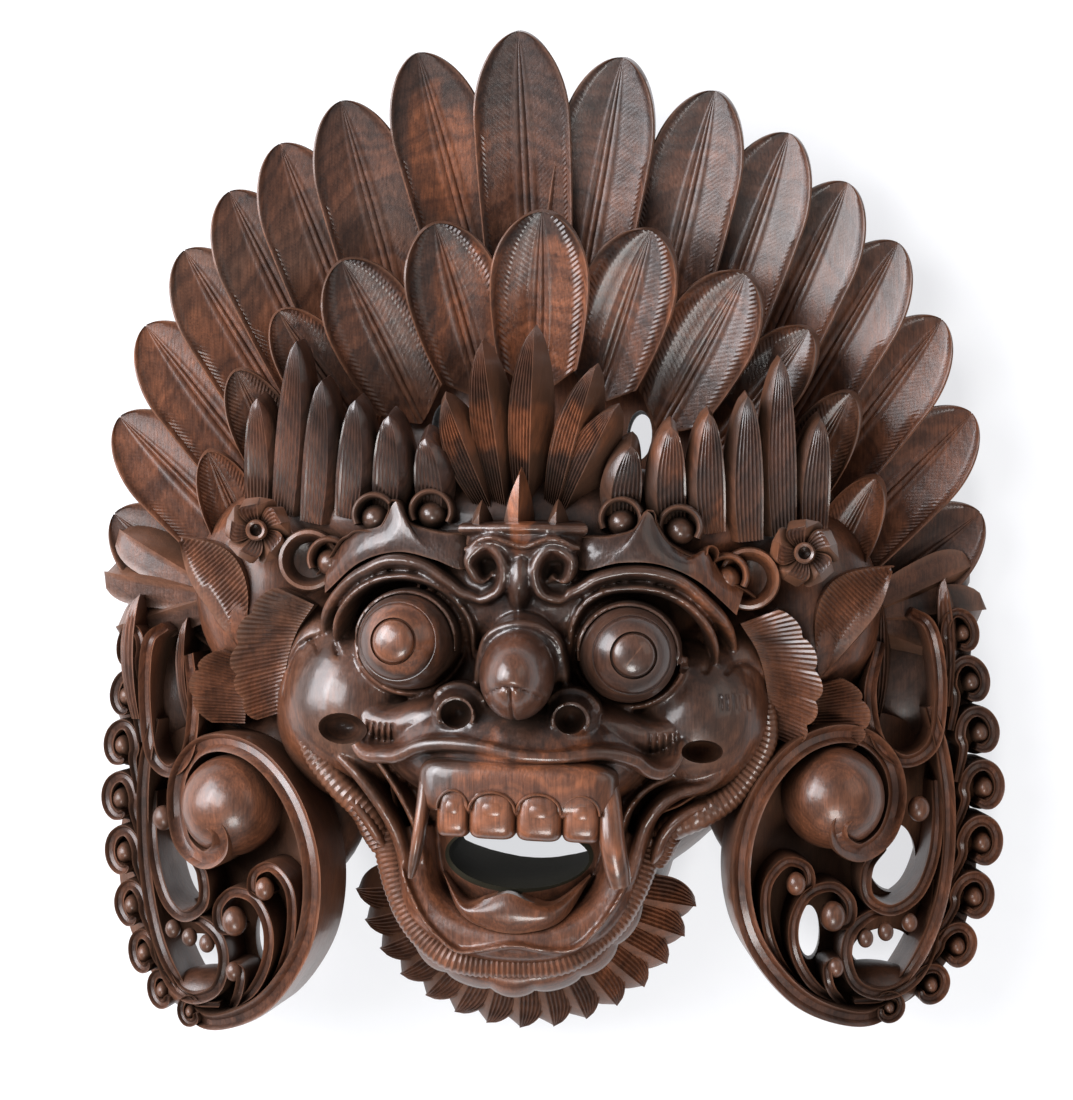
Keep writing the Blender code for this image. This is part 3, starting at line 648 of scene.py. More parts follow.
eyes = {-1: (-25.7, -21.9), 1: (24.9, -22.6)}
brow_left = ((-47.0, -21.0, 54), (-44.2, -14.0, 62), (-39.0, -8.4, 68.5), (-33.8, -5.2, 72),
             (-28.7, -3.6, 74), (-22.8, -4.4, 74.5), (-17.4, -7.6, 74.5), (-12.6, -10.6, 74),
             (-7.8, -10.8, 74.5), (-4.4, -7.4, 76), (-4.4, -2.4, 77.5), (-7.6, 0.6, 77.5),
             (-11.0, -1.4, 77), (-10.8, -4.8, 76), (-8.6, -5.6, 75))
brow_right = ((48.5, -21.0, 54), (45.0, -14.0, 62), (39.8, -8.8, 69), (35.0, -5.6, 72),
              (30.0, -4.1, 74), (24.0, -4.0, 74.5), (17.6, -5.6, 74.5), (12.6, -8.6, 74),
              (8.0, -10.2, 74.5), (4.2, -7.8, 76), (3.4, -3.2, 77.5), (6.0, 0.4, 77.5),
              (9.9, -0.6, 77), (10.7, -3.8, 76), (8.4, -5.4, 75))
lid_left = ((-43.0, -22.5, 58), (-41.0, -15.2, 66), (-36.8, -10.4, 70), (-31.5, -7.8, 72),
            (-25.5, -7.2, 73), (-19.5, -8.8, 73), (-14.6, -12.4, 72), (-11.6, -17.0, 71), (-10.8, -23, 69))
lid_right = ((44.4, -23.5, 58), (42.0, -16.0, 66), (37.8, -11.2, 70), (32.4, -8.4, 72),
             (26.5, -7.6, 73), (20.0, -8.4, 73), (15.0, -11.2, 72), (12.2, -15.8, 71), (11.4, -22, 69))
face_ridges = [ridge(brow_left, 5.6, 12, ends=(0.4, 0.45), samples=110),
               ridge(brow_right, 5.6, 12, ends=(0.4, 0.45), samples=110),
               ridge(lid_left, 3.8, 12, ends=(0.4, 0.4)), ridge(lid_right, 3.8, 12, ends=(0.4, 0.4))]
for side, (x, y) in eyes.items():
    face_ridges += [ridge(arc((x, y), 11.3, -10, 190, 75.6, 16), 2.8, 12, ends=(0.3, 0.3)),
                    ridge(arc((x, y + 0.8), 13.0, 185, 355, 66.5, 16), 3.4, 12, ends=(0.4, 0.4)),
                    ridge(arc((x, y), 17.0, 205, 330, 62.5, 16), 4.0, 12, ends=(0.4, 0.4)),
                    ridge(arc((side * 12.9, -37.6), 4.1, -35, 215, 80.0), 1.5, 6, ends=(0.5, 0.5)),
                    ridge(arc((side * 12.9, -37.4), 6.6, 15, 150, 76.5), 2.0, 6, ends=(0.3, 0.3))]
hood = ((-8.2, -34.0, 68), (-8.2, -26.0, 75), (-5.4, -19.2, 79), (1.0, -16.6, 81), (7.4, -19.0, 79),
        (10.2, -26.0, 75), (10.2, -34.0, 68))
face_ridges += [ridge(hood, 4.4, 10, ends=(0.4, 0.4)),
                ridge(((-12.8, 4.3, 73.5), (0.2, 4.9, 76.5), (12.8, 5.2, 73.5)), 3.4, 9),
                ridge(((-10.4, 0.8, 75), (-6.5, 2.4, 77), (0.3, 0.8, 77), (6.2, 2.6, 77),
                       (10.6, 1.6, 75)), 2.0, 7),
                ball((0.2, 1.6, 65), (13.5, 4.4, 10.0), 40, 0.7),
                ball((-0.3, -6.5, 66), (3.8, 8.5, 10.0), 32)]
lip = ((-40.0, -38.5, 62), (-36.5, -43.0, 67), (-31.8, -47.6, 73), (-25.1, -47.0, 78.5),
       (-18.8, -44.6, 82.5), (-12.3, -43.9, 84.5), (-5.7, -44.3, 85.5), (2.6, -45.6, 86),
       (10.7, -45.6, 84.8), (18.8, -44.7, 82), (24.4, -45.4, 79), (30.4, -47.8, 74), (35.2, -45.0, 68),
       (39.0, -39.5, 63))
face_ridges += [ridge(lip, 6.6, 12, ends=(0.3, 0.3), samples=110, section=32, lines=2, line_depth=0.07)]
fold_left = ((-46.5, -24, 50), (-48.5, -32, 53), (-48.0, -41.5, 58), (-43.0, -48.5, 62),
             (-37.0, -54.0, 64), (-32.0, -60.0, 64), (-28.6, -65.8, 62), (-26.6, -72, 59), (-25.4, -79, 56))
fold_right = ((49.5, -22, 50), (54.0, -32, 53), (51.5, -44.0, 57), (44.0, -52.0, 62), (36.4, -55.0, 64.5),
              (31.6, -59.5, 65), (29.2, -66, 62.5), (27.6, -73, 59), (26.0, -80, 56))
for fold in (fold_left, fold_right):
    face_ridges += [ridge(fold, 6.0, 12, ends=(0.3, 0.4), samples=64)]
    inner = [(0.84 * x, y + 1.5, z - 1.5) for x, y, z in fold[3:]]
    outer = [(1.12 * x, y - 3.6, z - 4.0) for x, y, z in fold[2:7]]
    face_ridges += [ridge(inner, 3.4, 9, ends=(0.3, 0.4)), ridge(outer, 5.5, 10, ends=(0.3, 0.4))]
basin = ((-25.5, -68, 54), (-23.5, -79, 56), (-19.0, -86.0, 58), (-10, -90.4, 59.5), (0, -91.4, 60),
         (10, -90.4, 59.5), (19.0, -85.6, 58), (24.0, -78, 56), (26.5, -67, 54))
jaw_line = ((-27.5, -70, 57.5), (-25.7, -77.3, 59.5), (-21.2, -85.7, 61), (-16.6, -90.6, 62),
            (-11.9, -93.6, 62.5), (-5.9, -92.8, 62.5), (0.9, -91.4, 63), (7.7, -92.2, 62.5),
            (14.6, -91.8, 62), (19.7, -87.2, 61), (23.7, -81.5, 60), (26.8, -74.6, 58.5), (28.5, -68, 57))
face_ridges += [ridge(basin, 12.0, 12, samples=64, section=24), ridge(jaw_line, 2.2, 8, samples=110,
                                                                     ends=(0.4, 0.4))]
head = gather("mask_head", head_masses() + face_ridges)
voxel_fuse(head, head_grain)
polish = head.modifiers.new("polish", "SMOOTH")
polish.factor = 0.5
polish.iterations = 2
bake(head)
print("fused head", len(head.data.vertices), "points")

# %% [markdown]
# ## Opening the head
# The mask is worn, so its back is hollow and the mouth goes right through. Nostrils and the deep
# pits at the mouth corners are drilled and then rounded. Booleans suit all of these, because each
# is one clean tool going into the wood.

# %% Hollow back, mouth, nostrils and pits
mouth_middle = -72.0
hollow_top = 19.0
hollow_low = -79.0


def drill(x, y, half_x, half_y, low, high):
    profile = [(1.0, low), (1.0, high)]
    return moved(lathe(profile, 48), Matrix.Translation((x, y, 0)) @ Matrix.Diagonal((half_x, half_y, 1, 1)))


middle_y = 0.5 * (hollow_top + hollow_low)
bench = [[(-90, -130, low), (90, -130, low), (90, 90, low), (-90, 90, low)] for low in (-80.0, 0.0)]
cut_away(head, [skin(np.array(bench, float))])
cut_away(head, [ball((0, middle_y, 0), (48, hollow_top - middle_y, 50), 72)])
cut_away(head, [drill(0.4, mouth_middle, 16.6, 7.2, -4, 120)])
cut_away(head, [drill(side * 24, 29, 3, 6, -4, 62) for side in (-1, 1)])
pits = on_both(lambda side: [ball((side * 12.8, -37.4, 80), (3.6, 3.4, 8), 32)])
pits += [ball((-41.0, -43.2, 66), (6.2, 3.9, 10), 32),
         ball((42.5, -44.5, 64), (5.0, 2.8, 9), 32), ball((38.5, -25.5, 66), (2.6, 1.6, 6), 24)]
cut_away(head, pits)

# %% [markdown]
# ## Chisel lines on the skin
# The cheeks carry engraved crescents and short strokes. They are pressed into the fused surface:
# every point near a line goes down by a soft amount, which costs no extra geometry.

# %% Engraved lines
def press(item, points, width, depth, samples=24):
    """Push the skin down along a line seen from the front."""
    count = len(item.data.vertices)
    places = np.empty(count * 3)
    item.data.vertices.foreach_get("co", places)
    places = places.reshape(-1, 3)
    path = smooth(points, samples)
    low, high = path.min(0) - 3 * width, path.max(0) + 3 * width
    near = np.all((places[:, :2] > low[:2]) & (places[:, :2] < high[:2]), axis=1) & (places[:, 2] > 20)
    spots = places[near][:, None, :2]
    start, run = path[:-1, :2], np.diff(path[:, :2], axis=0)
    share = ((spots - start) * run).sum(2) / np.maximum((run ** 2).sum(1), 1e-9)
    gaps = spots - start - np.clip(share, 0, 1)[..., None] * run
    gap = np.sqrt((gaps ** 2).sum(2)).min(1)
    places[near, 2] -= depth * np.exp(-(gap / width) ** 2)
    item.data.vertices.foreach_set("co", places.ravel())
    item.data.update()


cheek_lines = (
    ((40.6, -19.2), (42.8, -20.8), (43.6, -23.5), (42.5, -26.1)),
    ((47.4, -26.3), (49.8, -24.3), (53.8, -25.1), (57.0, -30.0), (58.5, -37.4)),
    ((-43.0, -26.3), (-44.0, -24.0), (-42.7, -22.1)),
    ((-52.7, -25.3), (-50.4, -23.3), (-48.4, -25.5)),
    ((-48.0, -22.0), (-53.0, -24.5), (-56.0, -30.0), (-57.0, -37.0)))
for line in cheek_lines:
    press(head, [(x, y, 0) for x, y in line], 0.6, 1.0)
for index in range(5):
    press(head, [(46.0 + 1.6 * index, -31.5, 0), (46.4 + 1.6 * index, -34.5, 0)], 0.35, 0.5)
    press(head, [(-34.5 + 1.5 * index, -41.5, 0), (-35.0 + 1.6 * index, -45.5, 0)], 0.4, 0.9)
    press(head, [(30.5 + 1.5 * index, -41.0, 0), (30.5 + 1.5 * index, -45.0, 0)], 0.4, 0.9)

# %% [markdown]
# ## Eyes and nose
# Both are turned shapes: a bulging ball with a raised disc and two fine scribed rings, and an
# egg of a nose. A lathe profile gives perfectly crisp rings, which pressing lines would not.

# %% Eyes, nose and nostrils
def eye_form(side):
    x, y = eyes[side]
    dome = lambda r: 12.4 * np.sqrt(max(0.0, 1.0 - (r / 11.6) ** 2)) ** 0.9
    profile = [(0.1, dome(0) + 0.5), (2.0, dome(2.0) + 0.5), (3.6, dome(3.6) + 0.5),
               (4.6, dome(4.6) + 0.4), (5.0, dome(5.0) + 0.1), (5.15, dome(5.15) - 0.6),
               (5.5, dome(5.5) - 0.6), (5.65, dome(5.65) + 0.15)]
    profile += [(r, dome(r)) for r in (6.2, 7.0, 7.8, 8.6, 9.1)]
    profile += [(9.3, dome(9.3) - 0.3), (9.5, dome(9.5)), (10.0, dome(10.0)), (10.6, dome(10.6)),
                (11.1, dome(11.1)), (11.5, dome(11.5)), (11.6, -1.0), (11.6, -14.0)]
    lean = Matrix.Rotation(radians(8.0 * side), 4, "Y") @ Matrix.Rotation(radians(-2.0), 4, "X")
    smaller = Matrix.Diagonal((0.94, 0.94, 1.0, 1.0))
    return moved(lathe(profile, 72), Matrix.Translation((x, y, 70.4)) @ lean @ smaller)


def nose_form():
    """An egg with a scribed arch and a cleft under it."""
    points, faces = ball((0, 0, 0), (8.3, 10.0, 17.5), 112)
    x, y, z = points.T
    arch = np.exp(-((y + 1.8 + 0.075 * x ** 2) / 0.4) ** 2) * (np.abs(x) < 6.0) * (z > 0)
    cleft = np.exp(-(x / 0.4) ** 2) * (y < -2.0) * (z > 0)
    sunk = 1.0 - 0.05 * np.clip(arch + cleft, 0, 1)
    lobes = np.exp(-((np.abs(x) - 2.6) / 2.0) ** 2 - ((y + 4.6) / 2.6) ** 2) * (z > 0)
    return moved((points * (sunk + 0.02 * lobes)[:, None], faces), Matrix.Translation((1.0, -27.6, 83.0)))


face_balls = [eye_form(-1), eye_form(1), nose_form()]

# %% [markdown]
# ## Teeth, fangs and jaw
# The upper gum bulges over four rounded teeth, with a bright thin line over each tooth. A fang
# leaves the gum on either side. Below the opening a two-lobed tongue lies in a smooth basin, and
# the basin ends in one thin ridge.

# %% Mouth
def loft(lower, upper, rise, thickness, rows=70, columns=12, ticks=0.0, scallops=0, scallop=0.0,
         stipple=0.0):
    """A plate between two paths, ticked across, scalloped at its upper edge or stippled."""
    low, high = smooth(lower, rows), smooth(upper, rows)
    share = np.linspace(0.0, 1.0, rows)
    wave = scallop * (np.abs(np.sin(pi * scallops * share)) ** 0.6 - 0.6) * bool(scallops)
    high = high + unit(high - low) * wave[:, None]
    s = np.linspace(0.0, 1.0, columns)
    top = low[:, None] + (high - low)[:, None] * s[None, :, None]
    chance = np.random.default_rng(7)
    lift = rise * np.sin(pi * s)[None, :] + ticks * ((np.arange(rows) % 2) - 0.5)[:, None] * (s > 0.12)
    lift = lift - stipple * (chance.random((rows, columns)) > 0.6)
    top[..., 2] += lift
    under = low[:, None] + (high - low)[:, None] * np.array([1.0, 0.0])[None, :, None]
    under[..., 2] -= thickness
    return skin(np.concatenate([top, under], axis=1))


tooth_edges = (-15.8, -8.6, 1.9, 12.1, 20.6)
mouth_forms = [ball((1.6, -53.2, 72.5), (22.4, 6.6, 11.2), 60, 0.42)]
for left, right in zip(tooth_edges, tooth_edges[1:]):
    middle, half = 0.5 * (left + right), 0.5 * (right - left)
    fall = 0.005 * middle ** 2
    mouth_forms.append(ball((middle, -58.6, 74.0 - fall), (half + 0.25, 6.1, 10.6), 48, 0.42))
    mouth_forms.append(ball((middle, -57.6, 73.0 - fall), (half + 0.1, 4.0, 11.9), 40, 0.7))
    gum_arch = [(middle + (half - 0.1) * cos(a), -58.0 + 4.2 * sin(a), 85.3 - fall)
                for a in np.radians(np.linspace(0, 180, 13))]
    mouth_forms.append(ridge(gum_arch, 1.1, 3.4, ends=(0.6, 0.6), samples=36))
mouth_forms += [
    sweep(((-19.0, -51.5, 75), (-19.2, -57, 78), (-20.0, -65, 79), (-21.4, -73.6, 76.5)), 3.4, 4.4,
          ends=(1.0, 0.45)),
    sweep(((21.6, -52, 75), (22.4, -57, 78), (23.6, -65, 79.5), (25.4, -73.2, 77.5)), 6.6, 4.6,
          ends=(0.7, 0.75), lines=1, line_depth=0.10),
    loft(((-17.4, -77.0, 50), (-12.0, -85.2, 58), (-4.0, -88.4, 60), (4.0, -88.4, 60), (12.0, -85.2, 58),
          (17.8, -76.0, 50)),
         ((-17.0, -76.6, 50), (-11.1, -82.6, 58.5), (-6.2, -81.2, 60.5), (-0.9, -79.4, 61),
          (4.4, -81.2, 60.5), (9.6, -81.8, 59), (17.4, -75.6, 50)), 1.6, 16.0, rows=60, columns=14)]

# %% [markdown]
# ## Hair bands and chin
# A band of short hair runs round the jaw and up past the mouth corners. It is a rounded ridge with
# a tick cut every millimetre and a half, so every second ring of the sweep is a little smaller.
# Smooth lobes hang below it.

# %% Ticked bands and lobes
hair_band = ((-33.4, -60, 53), (-31.6, -67, 54.5), (-29.6, -75.0, 55), (-27.2, -81.9, 55.5),
             (-23.8, -88.2, 56), (-19.4, -92.9, 56.5), (-14.3, -96.0, 57), (-8.2, -97.2, 57),
             (0.5, -97.2, 57), (9.2, -96.4, 57), (14.9, -94.2, 56.5), (19.3, -90.5, 56),
             (24.0, -85.4, 55.5), (27.4, -79, 55), (29.8, -72, 54.5), (32.0, -64, 54))
side_left = ((-50.6, -31, 53), (-52.2, -40, 55.5), (-48.6, -49.5, 58), (-42.6, -56.6, 59),
             (-36.6, -62.3, 57.5), (-33.0, -69, 54.5))
side_right = ((57.0, -32, 51), (57.0, -43, 54), (51.0, -53.5, 57), (43.0, -59.6, 58.5), (36.6, -63.0, 57),
              (33.4, -69, 54))
hair_forms = [ridge(hair_band, 7.4, 8, tick_pitch=1.25, tick_depth=0.06, samples=110, square=0.6)]
for path in (side_left, side_right):
    hair_forms.append(ridge([(x, y, z + 1.0) for x, y, z in path], 8.4, 10, tick_pitch=1.3, tick_depth=0.055,
                            ends=(0.3, 0.8), square=0.6))
for path in (hair_band, side_left, side_right):
    hair_forms.append(ridge([(0.90 * x, y + 3.0, z + 0.4) for x, y, z in path], 1.4, 6, samples=90))
lobes_low = ((-31.0, -84.0, 48), (-25.5, -92.0, 49), (-18.5, -99.6, 50), (-9.0, -103.0, 51),
             (0.4, -104.6, 52), (10.0, -102.8, 51), (19.5, -98.4, 50), (26.0, -91.0, 49),
             (30.5, -83.0, 48))
lobes_high = ((-25.0, -83.0, 52), (-20.0, -90.0, 53), (-14.0, -95.0, 54), (-7.0, -97.5, 55), (0.4, -98.0, 55),
              (7.5, -97.5, 55), (15.0, -94.5, 54), (20.5, -89.0, 53), (25.0, -82.0, 52))
hair_forms.append(loft(lobes_high, lobes_low, 1.8, 14.0, rows=140, columns=10, scallops=7, scallop=1.8))

# %% [markdown]
# ## Diadem
# A stippled band lies over the brow. Its upper edge rises in peaks between round pockets, and a
# knob sits in each pocket. The stipple is real: the band's grid is knocked in at random points,
# with a fixed seed.

# %% Band, pockets and knobs
band_left_low = ((-47.0, -12.0, 58), (-38.0, -4.5, 66), (-28.7, -1.6, 70), (-20.0, -3.0, 71.5),
                 (-14.0, -5.0, 70), (-10.5, -3.0, 66))
band_left_top = ((-47.0, -5.0, 57), (-42.0, 0.6, 62), (-38.0, 2.8, 65), (-33.0, 4.4, 67.6),
                 (-29.6, 9.8, 69.2), (-26.4, 5.0, 69.2), (-19.8, 3.2, 70), (-15.0, 3.0, 69.5),
                 (-10.5, 3.0, 66))
band_right_low = ((49.0, -13.0, 58), (40.0, -5.5, 66), (31.0, -2.0, 70), (22.0, -2.0, 71.5), (14.5, -4.0, 70),
                  (10.5, -3.0, 66))
band_right_top = ((50.5, -7.0, 56), (44.6, -3.2, 60), (41.4, 1.5, 62), (37.8, 0.6, 64), (32.2, 3.8, 67.2),
                  (28.0, 9.8, 69.2), (25.0, 5.6, 69.2), (19.4, 3.8, 70), (15.0, 3.6, 69.5),
                  (10.5, 3.0, 66))
diadem = []
for low, top in ((band_left_low, band_left_top), (band_right_low, band_right_top)):
    diadem += [loft(low, top, 1.0, 8.0, rows=104, columns=20, stipple=0.045), ridge(top, 1.1, 7, samples=90)]
knobs = ((21.8, 8.0, 68.0), (35.2, 6.7, 66.0), (46.3, -4.0, 60.0))
for x, y, z in knobs:
    diadem += on_both(lambda side: [ball((side * x, y - 0.8, z - 5.0), (3.4, 3.2, 4.6), 32),
                                    ridge(arc((side * x, y), 4.6, -30, 210, z - 0.4), 1.9, 6)])

for name, forms in (("face_balls", face_balls), ("mouth", mouth_forms),
                    ("hair", hair_forms), ("diadem", diadem)):
    print(name, sum(len(form[1]) for form in forms), "faces")
carving = gather("face_carving", face_balls + mouth_forms + hair_forms + diadem)


def join_into(item, others):
    """Join other objects into one piece."""
    shell = bmesh.new()
    for source in [item] + others:
        shell.from_mesh(source.data)
    shell.to_mesh(item.data)
    shell.free()
    for source in others:
        bpy.data.objects.remove(source, do_unlink=True)
    return item


def thin_out(item, triangles):
    """Reduce a mesh where it is flat, so the piece stays under its triangle limit."""
    have = sum(len(face.vertices) - 2 for face in item.data.polygons)
    if have > triangles:
        step = item.modifiers.new("fewer", "DECIMATE")
        step.ratio = triangles / have
        bake(item)


thin_out(head, 94000)
join_into(head, [carving])
print("lowest point", min(point.co.z for point in head.data.vertices))
finish_piece(head, FACE)
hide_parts("mask")
# %% [markdown]
# ## Flame leaves
# A fringe of pointed leaves stands over the forehead: five in the middle tuft and six upright ones
# on each side. Each side leaf is folded: a broad fluted face looks outward and a narrow smooth face
# looks to the middle. Here the grid columns carry the flutes: every second column is lower.

# %% Fluted leaf
def fluted_leaf(length, width, thickness, flutes=6, flute_depth=0.28, bend=0.0, rows=18,
                stem=0.8, belly=0.4, point=0.8, keel=1.8, cup=0.0, curl=0.0, fold=0.0):
    """A pointed leaf with flutes along it: X across, Y from root to tip, Z out."""
    t = np.linspace(0.0, 1.0, rows) ** 0.9
    half = 0.5 * width * outline_share(t, stem, belly, point)
    outer = np.linspace(-1.0, fold, 2 * flutes + 1)
    inner = np.linspace(fold, 1.0, 4)[1:] if fold else np.array([])
    s = np.concatenate([outer, inner])
    groove = np.concatenate([np.arange(2 * flutes + 1) % 2, np.zeros(len(inner))])
    share = (2.0 * half / width)[:, None]
    lower = flute_depth * groove[None, :] * np.clip(4.0 * (1.0 - t), 0, 1)[:, None]
    rise = np.where(s < fold, (s + 1.0) / (1.0 + fold), (1.0 - s) / (1.0 - fold)) if fold else 1.0 - np.abs(s)
    z = keel * (rise ** 0.8)[None, :] * share + cup * (s ** 2)[None, :] * share
    z = z + curl * (t ** 2)[:, None] - lower
    centre = bend * (4.0 * t * (1.0 - t))[:, None]
    top = np.stack([centre + half[:, None] * s, (length * t)[:, None] + 0.0 * s, z], axis=-1)
    edge = np.array([0.9, -0.9])
    low = np.stack([centre + half[:, None] * edge, (length * t)[:, None] + 0.0 * edge,
                    curl * (t ** 2)[:, None] - thickness + 0.0 * edge], axis=-1)
    return skin(np.concatenate([top, low], axis=1))


# %% Fringe
flame_length = 30.0
flame_width = 9.6
flame_tips = ((23.5, 24.0), (32.4, 29.0), (40.8, 32.6), (49.5, 37.2), (56.8, 46.5), (66.6, 33.0))
flame_roots = ((21.5, 9.0), (32.2, 8.0), (41.6, 6.0), (50.4, 4.5), (58.2, 6.0), (65.6, 7.0))


def flame_places(side):
    places = []
    last = len(flame_tips) - 1
    for index, ((tip_x, tip_y), (root_x, root_y)) in enumerate(zip(flame_tips, flame_roots)):
        z = 68.0 - 19.0 * (index / last) ** 1.5
        root, tip = (side * root_x, root_y, z - 6.0), (side * tip_x, tip_y, z + 2.0)
        places.append(leaf_place(root, tip, flame_length, side * 1.0, 4.0 * side))
    return places


def tuft_places():
    places = []
    for tip_x, tip_y in ((-18.8, 33.7), (-11.1, 46.7), (0.6, 50.3), (14.7, 41.7), (19.4, 32.4)):
        places.append(leaf_place((0.45 * tip_x, 9.5, 62.0), (tip_x, tip_y, 71.5), flame_length, 1.12))
    return places


folded = fluted_leaf(flame_length, flame_width, 8.0, flutes=7, flute_depth=0.42, bend=0.9, fold=0.42,
                     keel=3.2, stem=0.86, belly=0.35, point=0.62, curl=-1.0)
folded = moved(folded, Matrix.Diagonal((-1.0, 1.0, 1.0, 1.0)))
flames_left = set_out("flame_fringe", folded, flame_places(-1))
flames_right = set_out("flames_right", folded, flame_places(1))
tuft_leaf = fluted_leaf(flame_length, flame_width, 6.0, flutes=7, flute_depth=0.5, stem=0.55, belly=0.5,
                        point=0.7, keel=2.0)
tuft = set_out("tuft", tuft_leaf, tuft_places())
spikes = [moved(fluted_leaf(10.0, width, 6.0, flutes=1, flute_depth=0.0, keel=2.2, stem=1.0, belly=0.1,
                            point=0.9), leaf_place((x, -1.0, 68.0), (x, height, 74.0), 10.0, 1.0))
          for x, height, width in ((-9.9, 7.5, 6.5), (-1.2, 17.0, 7.5), (7.5, 8.9, 6.5))]
join_into(flames_left, [flames_right, tuft, gather("spikes", spikes)])
finish_piece(flames_left, FACE)

# %% [markdown]
# ## Beard
# Fifteen pointed leaves lie round the jaw like rays, each with flutes along it.

# %% Rays of the beard
def beard_places():
    places = []
    for index in range(15):
        angle = radians(-168.0 + 156.0 * index / 14.0)
        root = (26.0 * cos(angle), -78.0 + 26.0 * sin(angle), 27.0)
        tip = (43.5 * cos(angle), -78.0 + 41.0 * sin(angle), 20.0)
        places.append(leaf_place(root, tip, 20.0, 1.08))
    return places


beard = set_out("beard", fluted_leaf(20.0, 11.6, 2.0, flutes=6, flute_depth=0.45, stem=0.9, belly=0.5,
                                     point=0.6, keel=1.2), beard_places())
finish_piece(beard, FACE)

# %% [markdown]
# ## Temples
# Between face and ear come an upright leaf with cross lines, two scalloped frills, a small flower,
# a curled cup and three smooth acanthus leaves behind them.

# %% Leaves, frills and flowers
def flower(x, y, z, size):
    forms = []
    for index in range(5):
        angle = radians(90.0 + 72.0 * index)
        tip = (x + size * cos(angle), y + size * sin(angle), z + 0.5)
        root = (x + 0.25 * size * cos(angle), y + 0.25 * size * sin(angle), z - 2.5)
        petal = fluted_leaf(5.0, 8.6, 3.0, flutes=5, flute_depth=0.25, rows=10, stem=0.5, belly=0.7,
                            point=0.35, keel=0.0, cup=1.0)
        forms.append(moved(petal, leaf_place(root, tip, 5.0, size / 6.0)))
    cup = [(2.2, -4.0), (2.5, 0.6), (2.1, 1.1), (1.5, 0.8), (1.3, -1.5), (0.1, -2.0)]
    forms.append(moved(lathe(cup, 24), Matrix.Translation((x, y, z))))
    return forms


temple_forms = []
for side in (-1, 1):
    turn = lambda path: [(side * x, y, z) for x, y, z in path]
    under = ((85.2, -1.6, 45.0), (82.4, -10.7, 44.0), (76.5, -19.0, 43.0), (70.0, -27.0, 41.0))
    over = ((84.8, -0.4, 45.0), (75.4, -2.0, 47.0), (70.0, -6.0, 47.5), (67.6, -14.0, 46.0),
            (69.0, -26.0, 42.0))
    temple_forms += [loft(turn(under), turn(over), -1.2, 10.0, rows=60, columns=10, ticks=0.45),
                     ridge(turn(under), 1.3, 6.0, ends=(0.5, 0.5)),
                     ridge(turn(over), 1.3, 6.0, ends=(0.5, 0.5))]
    outer = ((59.5, -11, 57), (66.0, -19, 56), (69.0, -29, 54), (67.5, -37, 51.5), (64.5, -43.5, 49))
    inner = ((50.0, -15, 55), (54.5, -22, 52), (57.0, -31, 50), (57.5, -41, 47))
    temple_forms.append(loft(turn(inner), turn(outer), -1.0, 12.0, rows=64, columns=9, ticks=0.42,
                             scallops=5, scallop=1.7))
    outer = ((75.0, -27, 45), (80.0, -32, 44), (81.0, -39, 43), (77.0, -45, 41))
    inner = ((69.0, -29, 42), (68.0, -37, 41), (68.5, -45, 39))
    temple_forms.append(loft(turn(inner), turn(outer), -0.6, 10.0, rows=46, columns=8, ticks=0.4,
                             scallops=3, scallop=1.4))
    temple_forms += flower(side * 64.0, 2.0, 57.0, 6.2)
    shell = [(7.2, -8.0), (7.4, -1.0), (7.0, 0.6), (6.2, 0.8), (5.4, -0.6), (4.2, -3.6), (0.1, -5.0)]
    temple_forms.append(moved(lathe(shell, 40), Matrix.Translation((side * 51.5, -4.5, 56.0))))
    for tip_x, tip_y in ((107.5, 1.0), (111.0, -10.0), (107.5, -24.0)):
        sprig = fluted_leaf(30.0, 14.0, 6.0, flutes=2, flute_depth=0.5, stem=0.6, belly=0.72, point=0.4,
                            keel=1.8, cup=0.4, curl=-2.0, rows=22)
        temple_forms.append(moved(sprig, leaf_place((side * 78, -14, 24), (side * tip_x, tip_y, 19),
                                                    30.0, 1.0)))
temples = gather("temples", temple_forms)
finish_piece(temples, FACE)

# %% [markdown]
# ## Ear ornaments
# Each ear is a pierced scroll: a deep rim band sweeps round a ball and curls into it like a snail,
# smaller curls spring from its foot, and a stem along the outer side carries round curled leaves.
# A band has two thin raised edges with a hollow between, and its walls run back into the block.

# %% Scroll bands
def ear_height(x):
    return 60.0 - 0.62 * (x - 50.0)


band_section = ((-0.5, -1.0), (-0.5, -0.08), (-0.44, 0.0), (-0.34, -0.015), (-0.1, -0.075), (0.20, -0.07),
                (0.36, -0.015), (0.45, 0.0), (0.5, -0.08), (0.5, -1.0))


def band(points, width, depth, samples=60, ends=(1.0, 1.0), draft=0.1):
    path = smooth(points, samples)
    ahead = unit(np.gradient(path, axis=0) * (1.0, 1.0, 0.0))
    side = unit(np.cross(ahead, np.array((0.0, 0.0, 1.0))))
    section = np.array(band_section)
    taper = np.interp(np.linspace(0, 1, samples), [0.0, 0.15, 0.85, 1.0], [ends[0], 1.0, 1.0, ends[1]])
    outward = 1.0 if path[0][0] > 0 else -1.0
    down = np.array((-draft * outward, 0.0, -1.0))
    rings = (path[:, None] + side[:, None] * (width * taper[:, None] * section[:, 0])[..., None]
             - down * (section[:, 1] * depth)[None, :, None])
    return skin(rings)


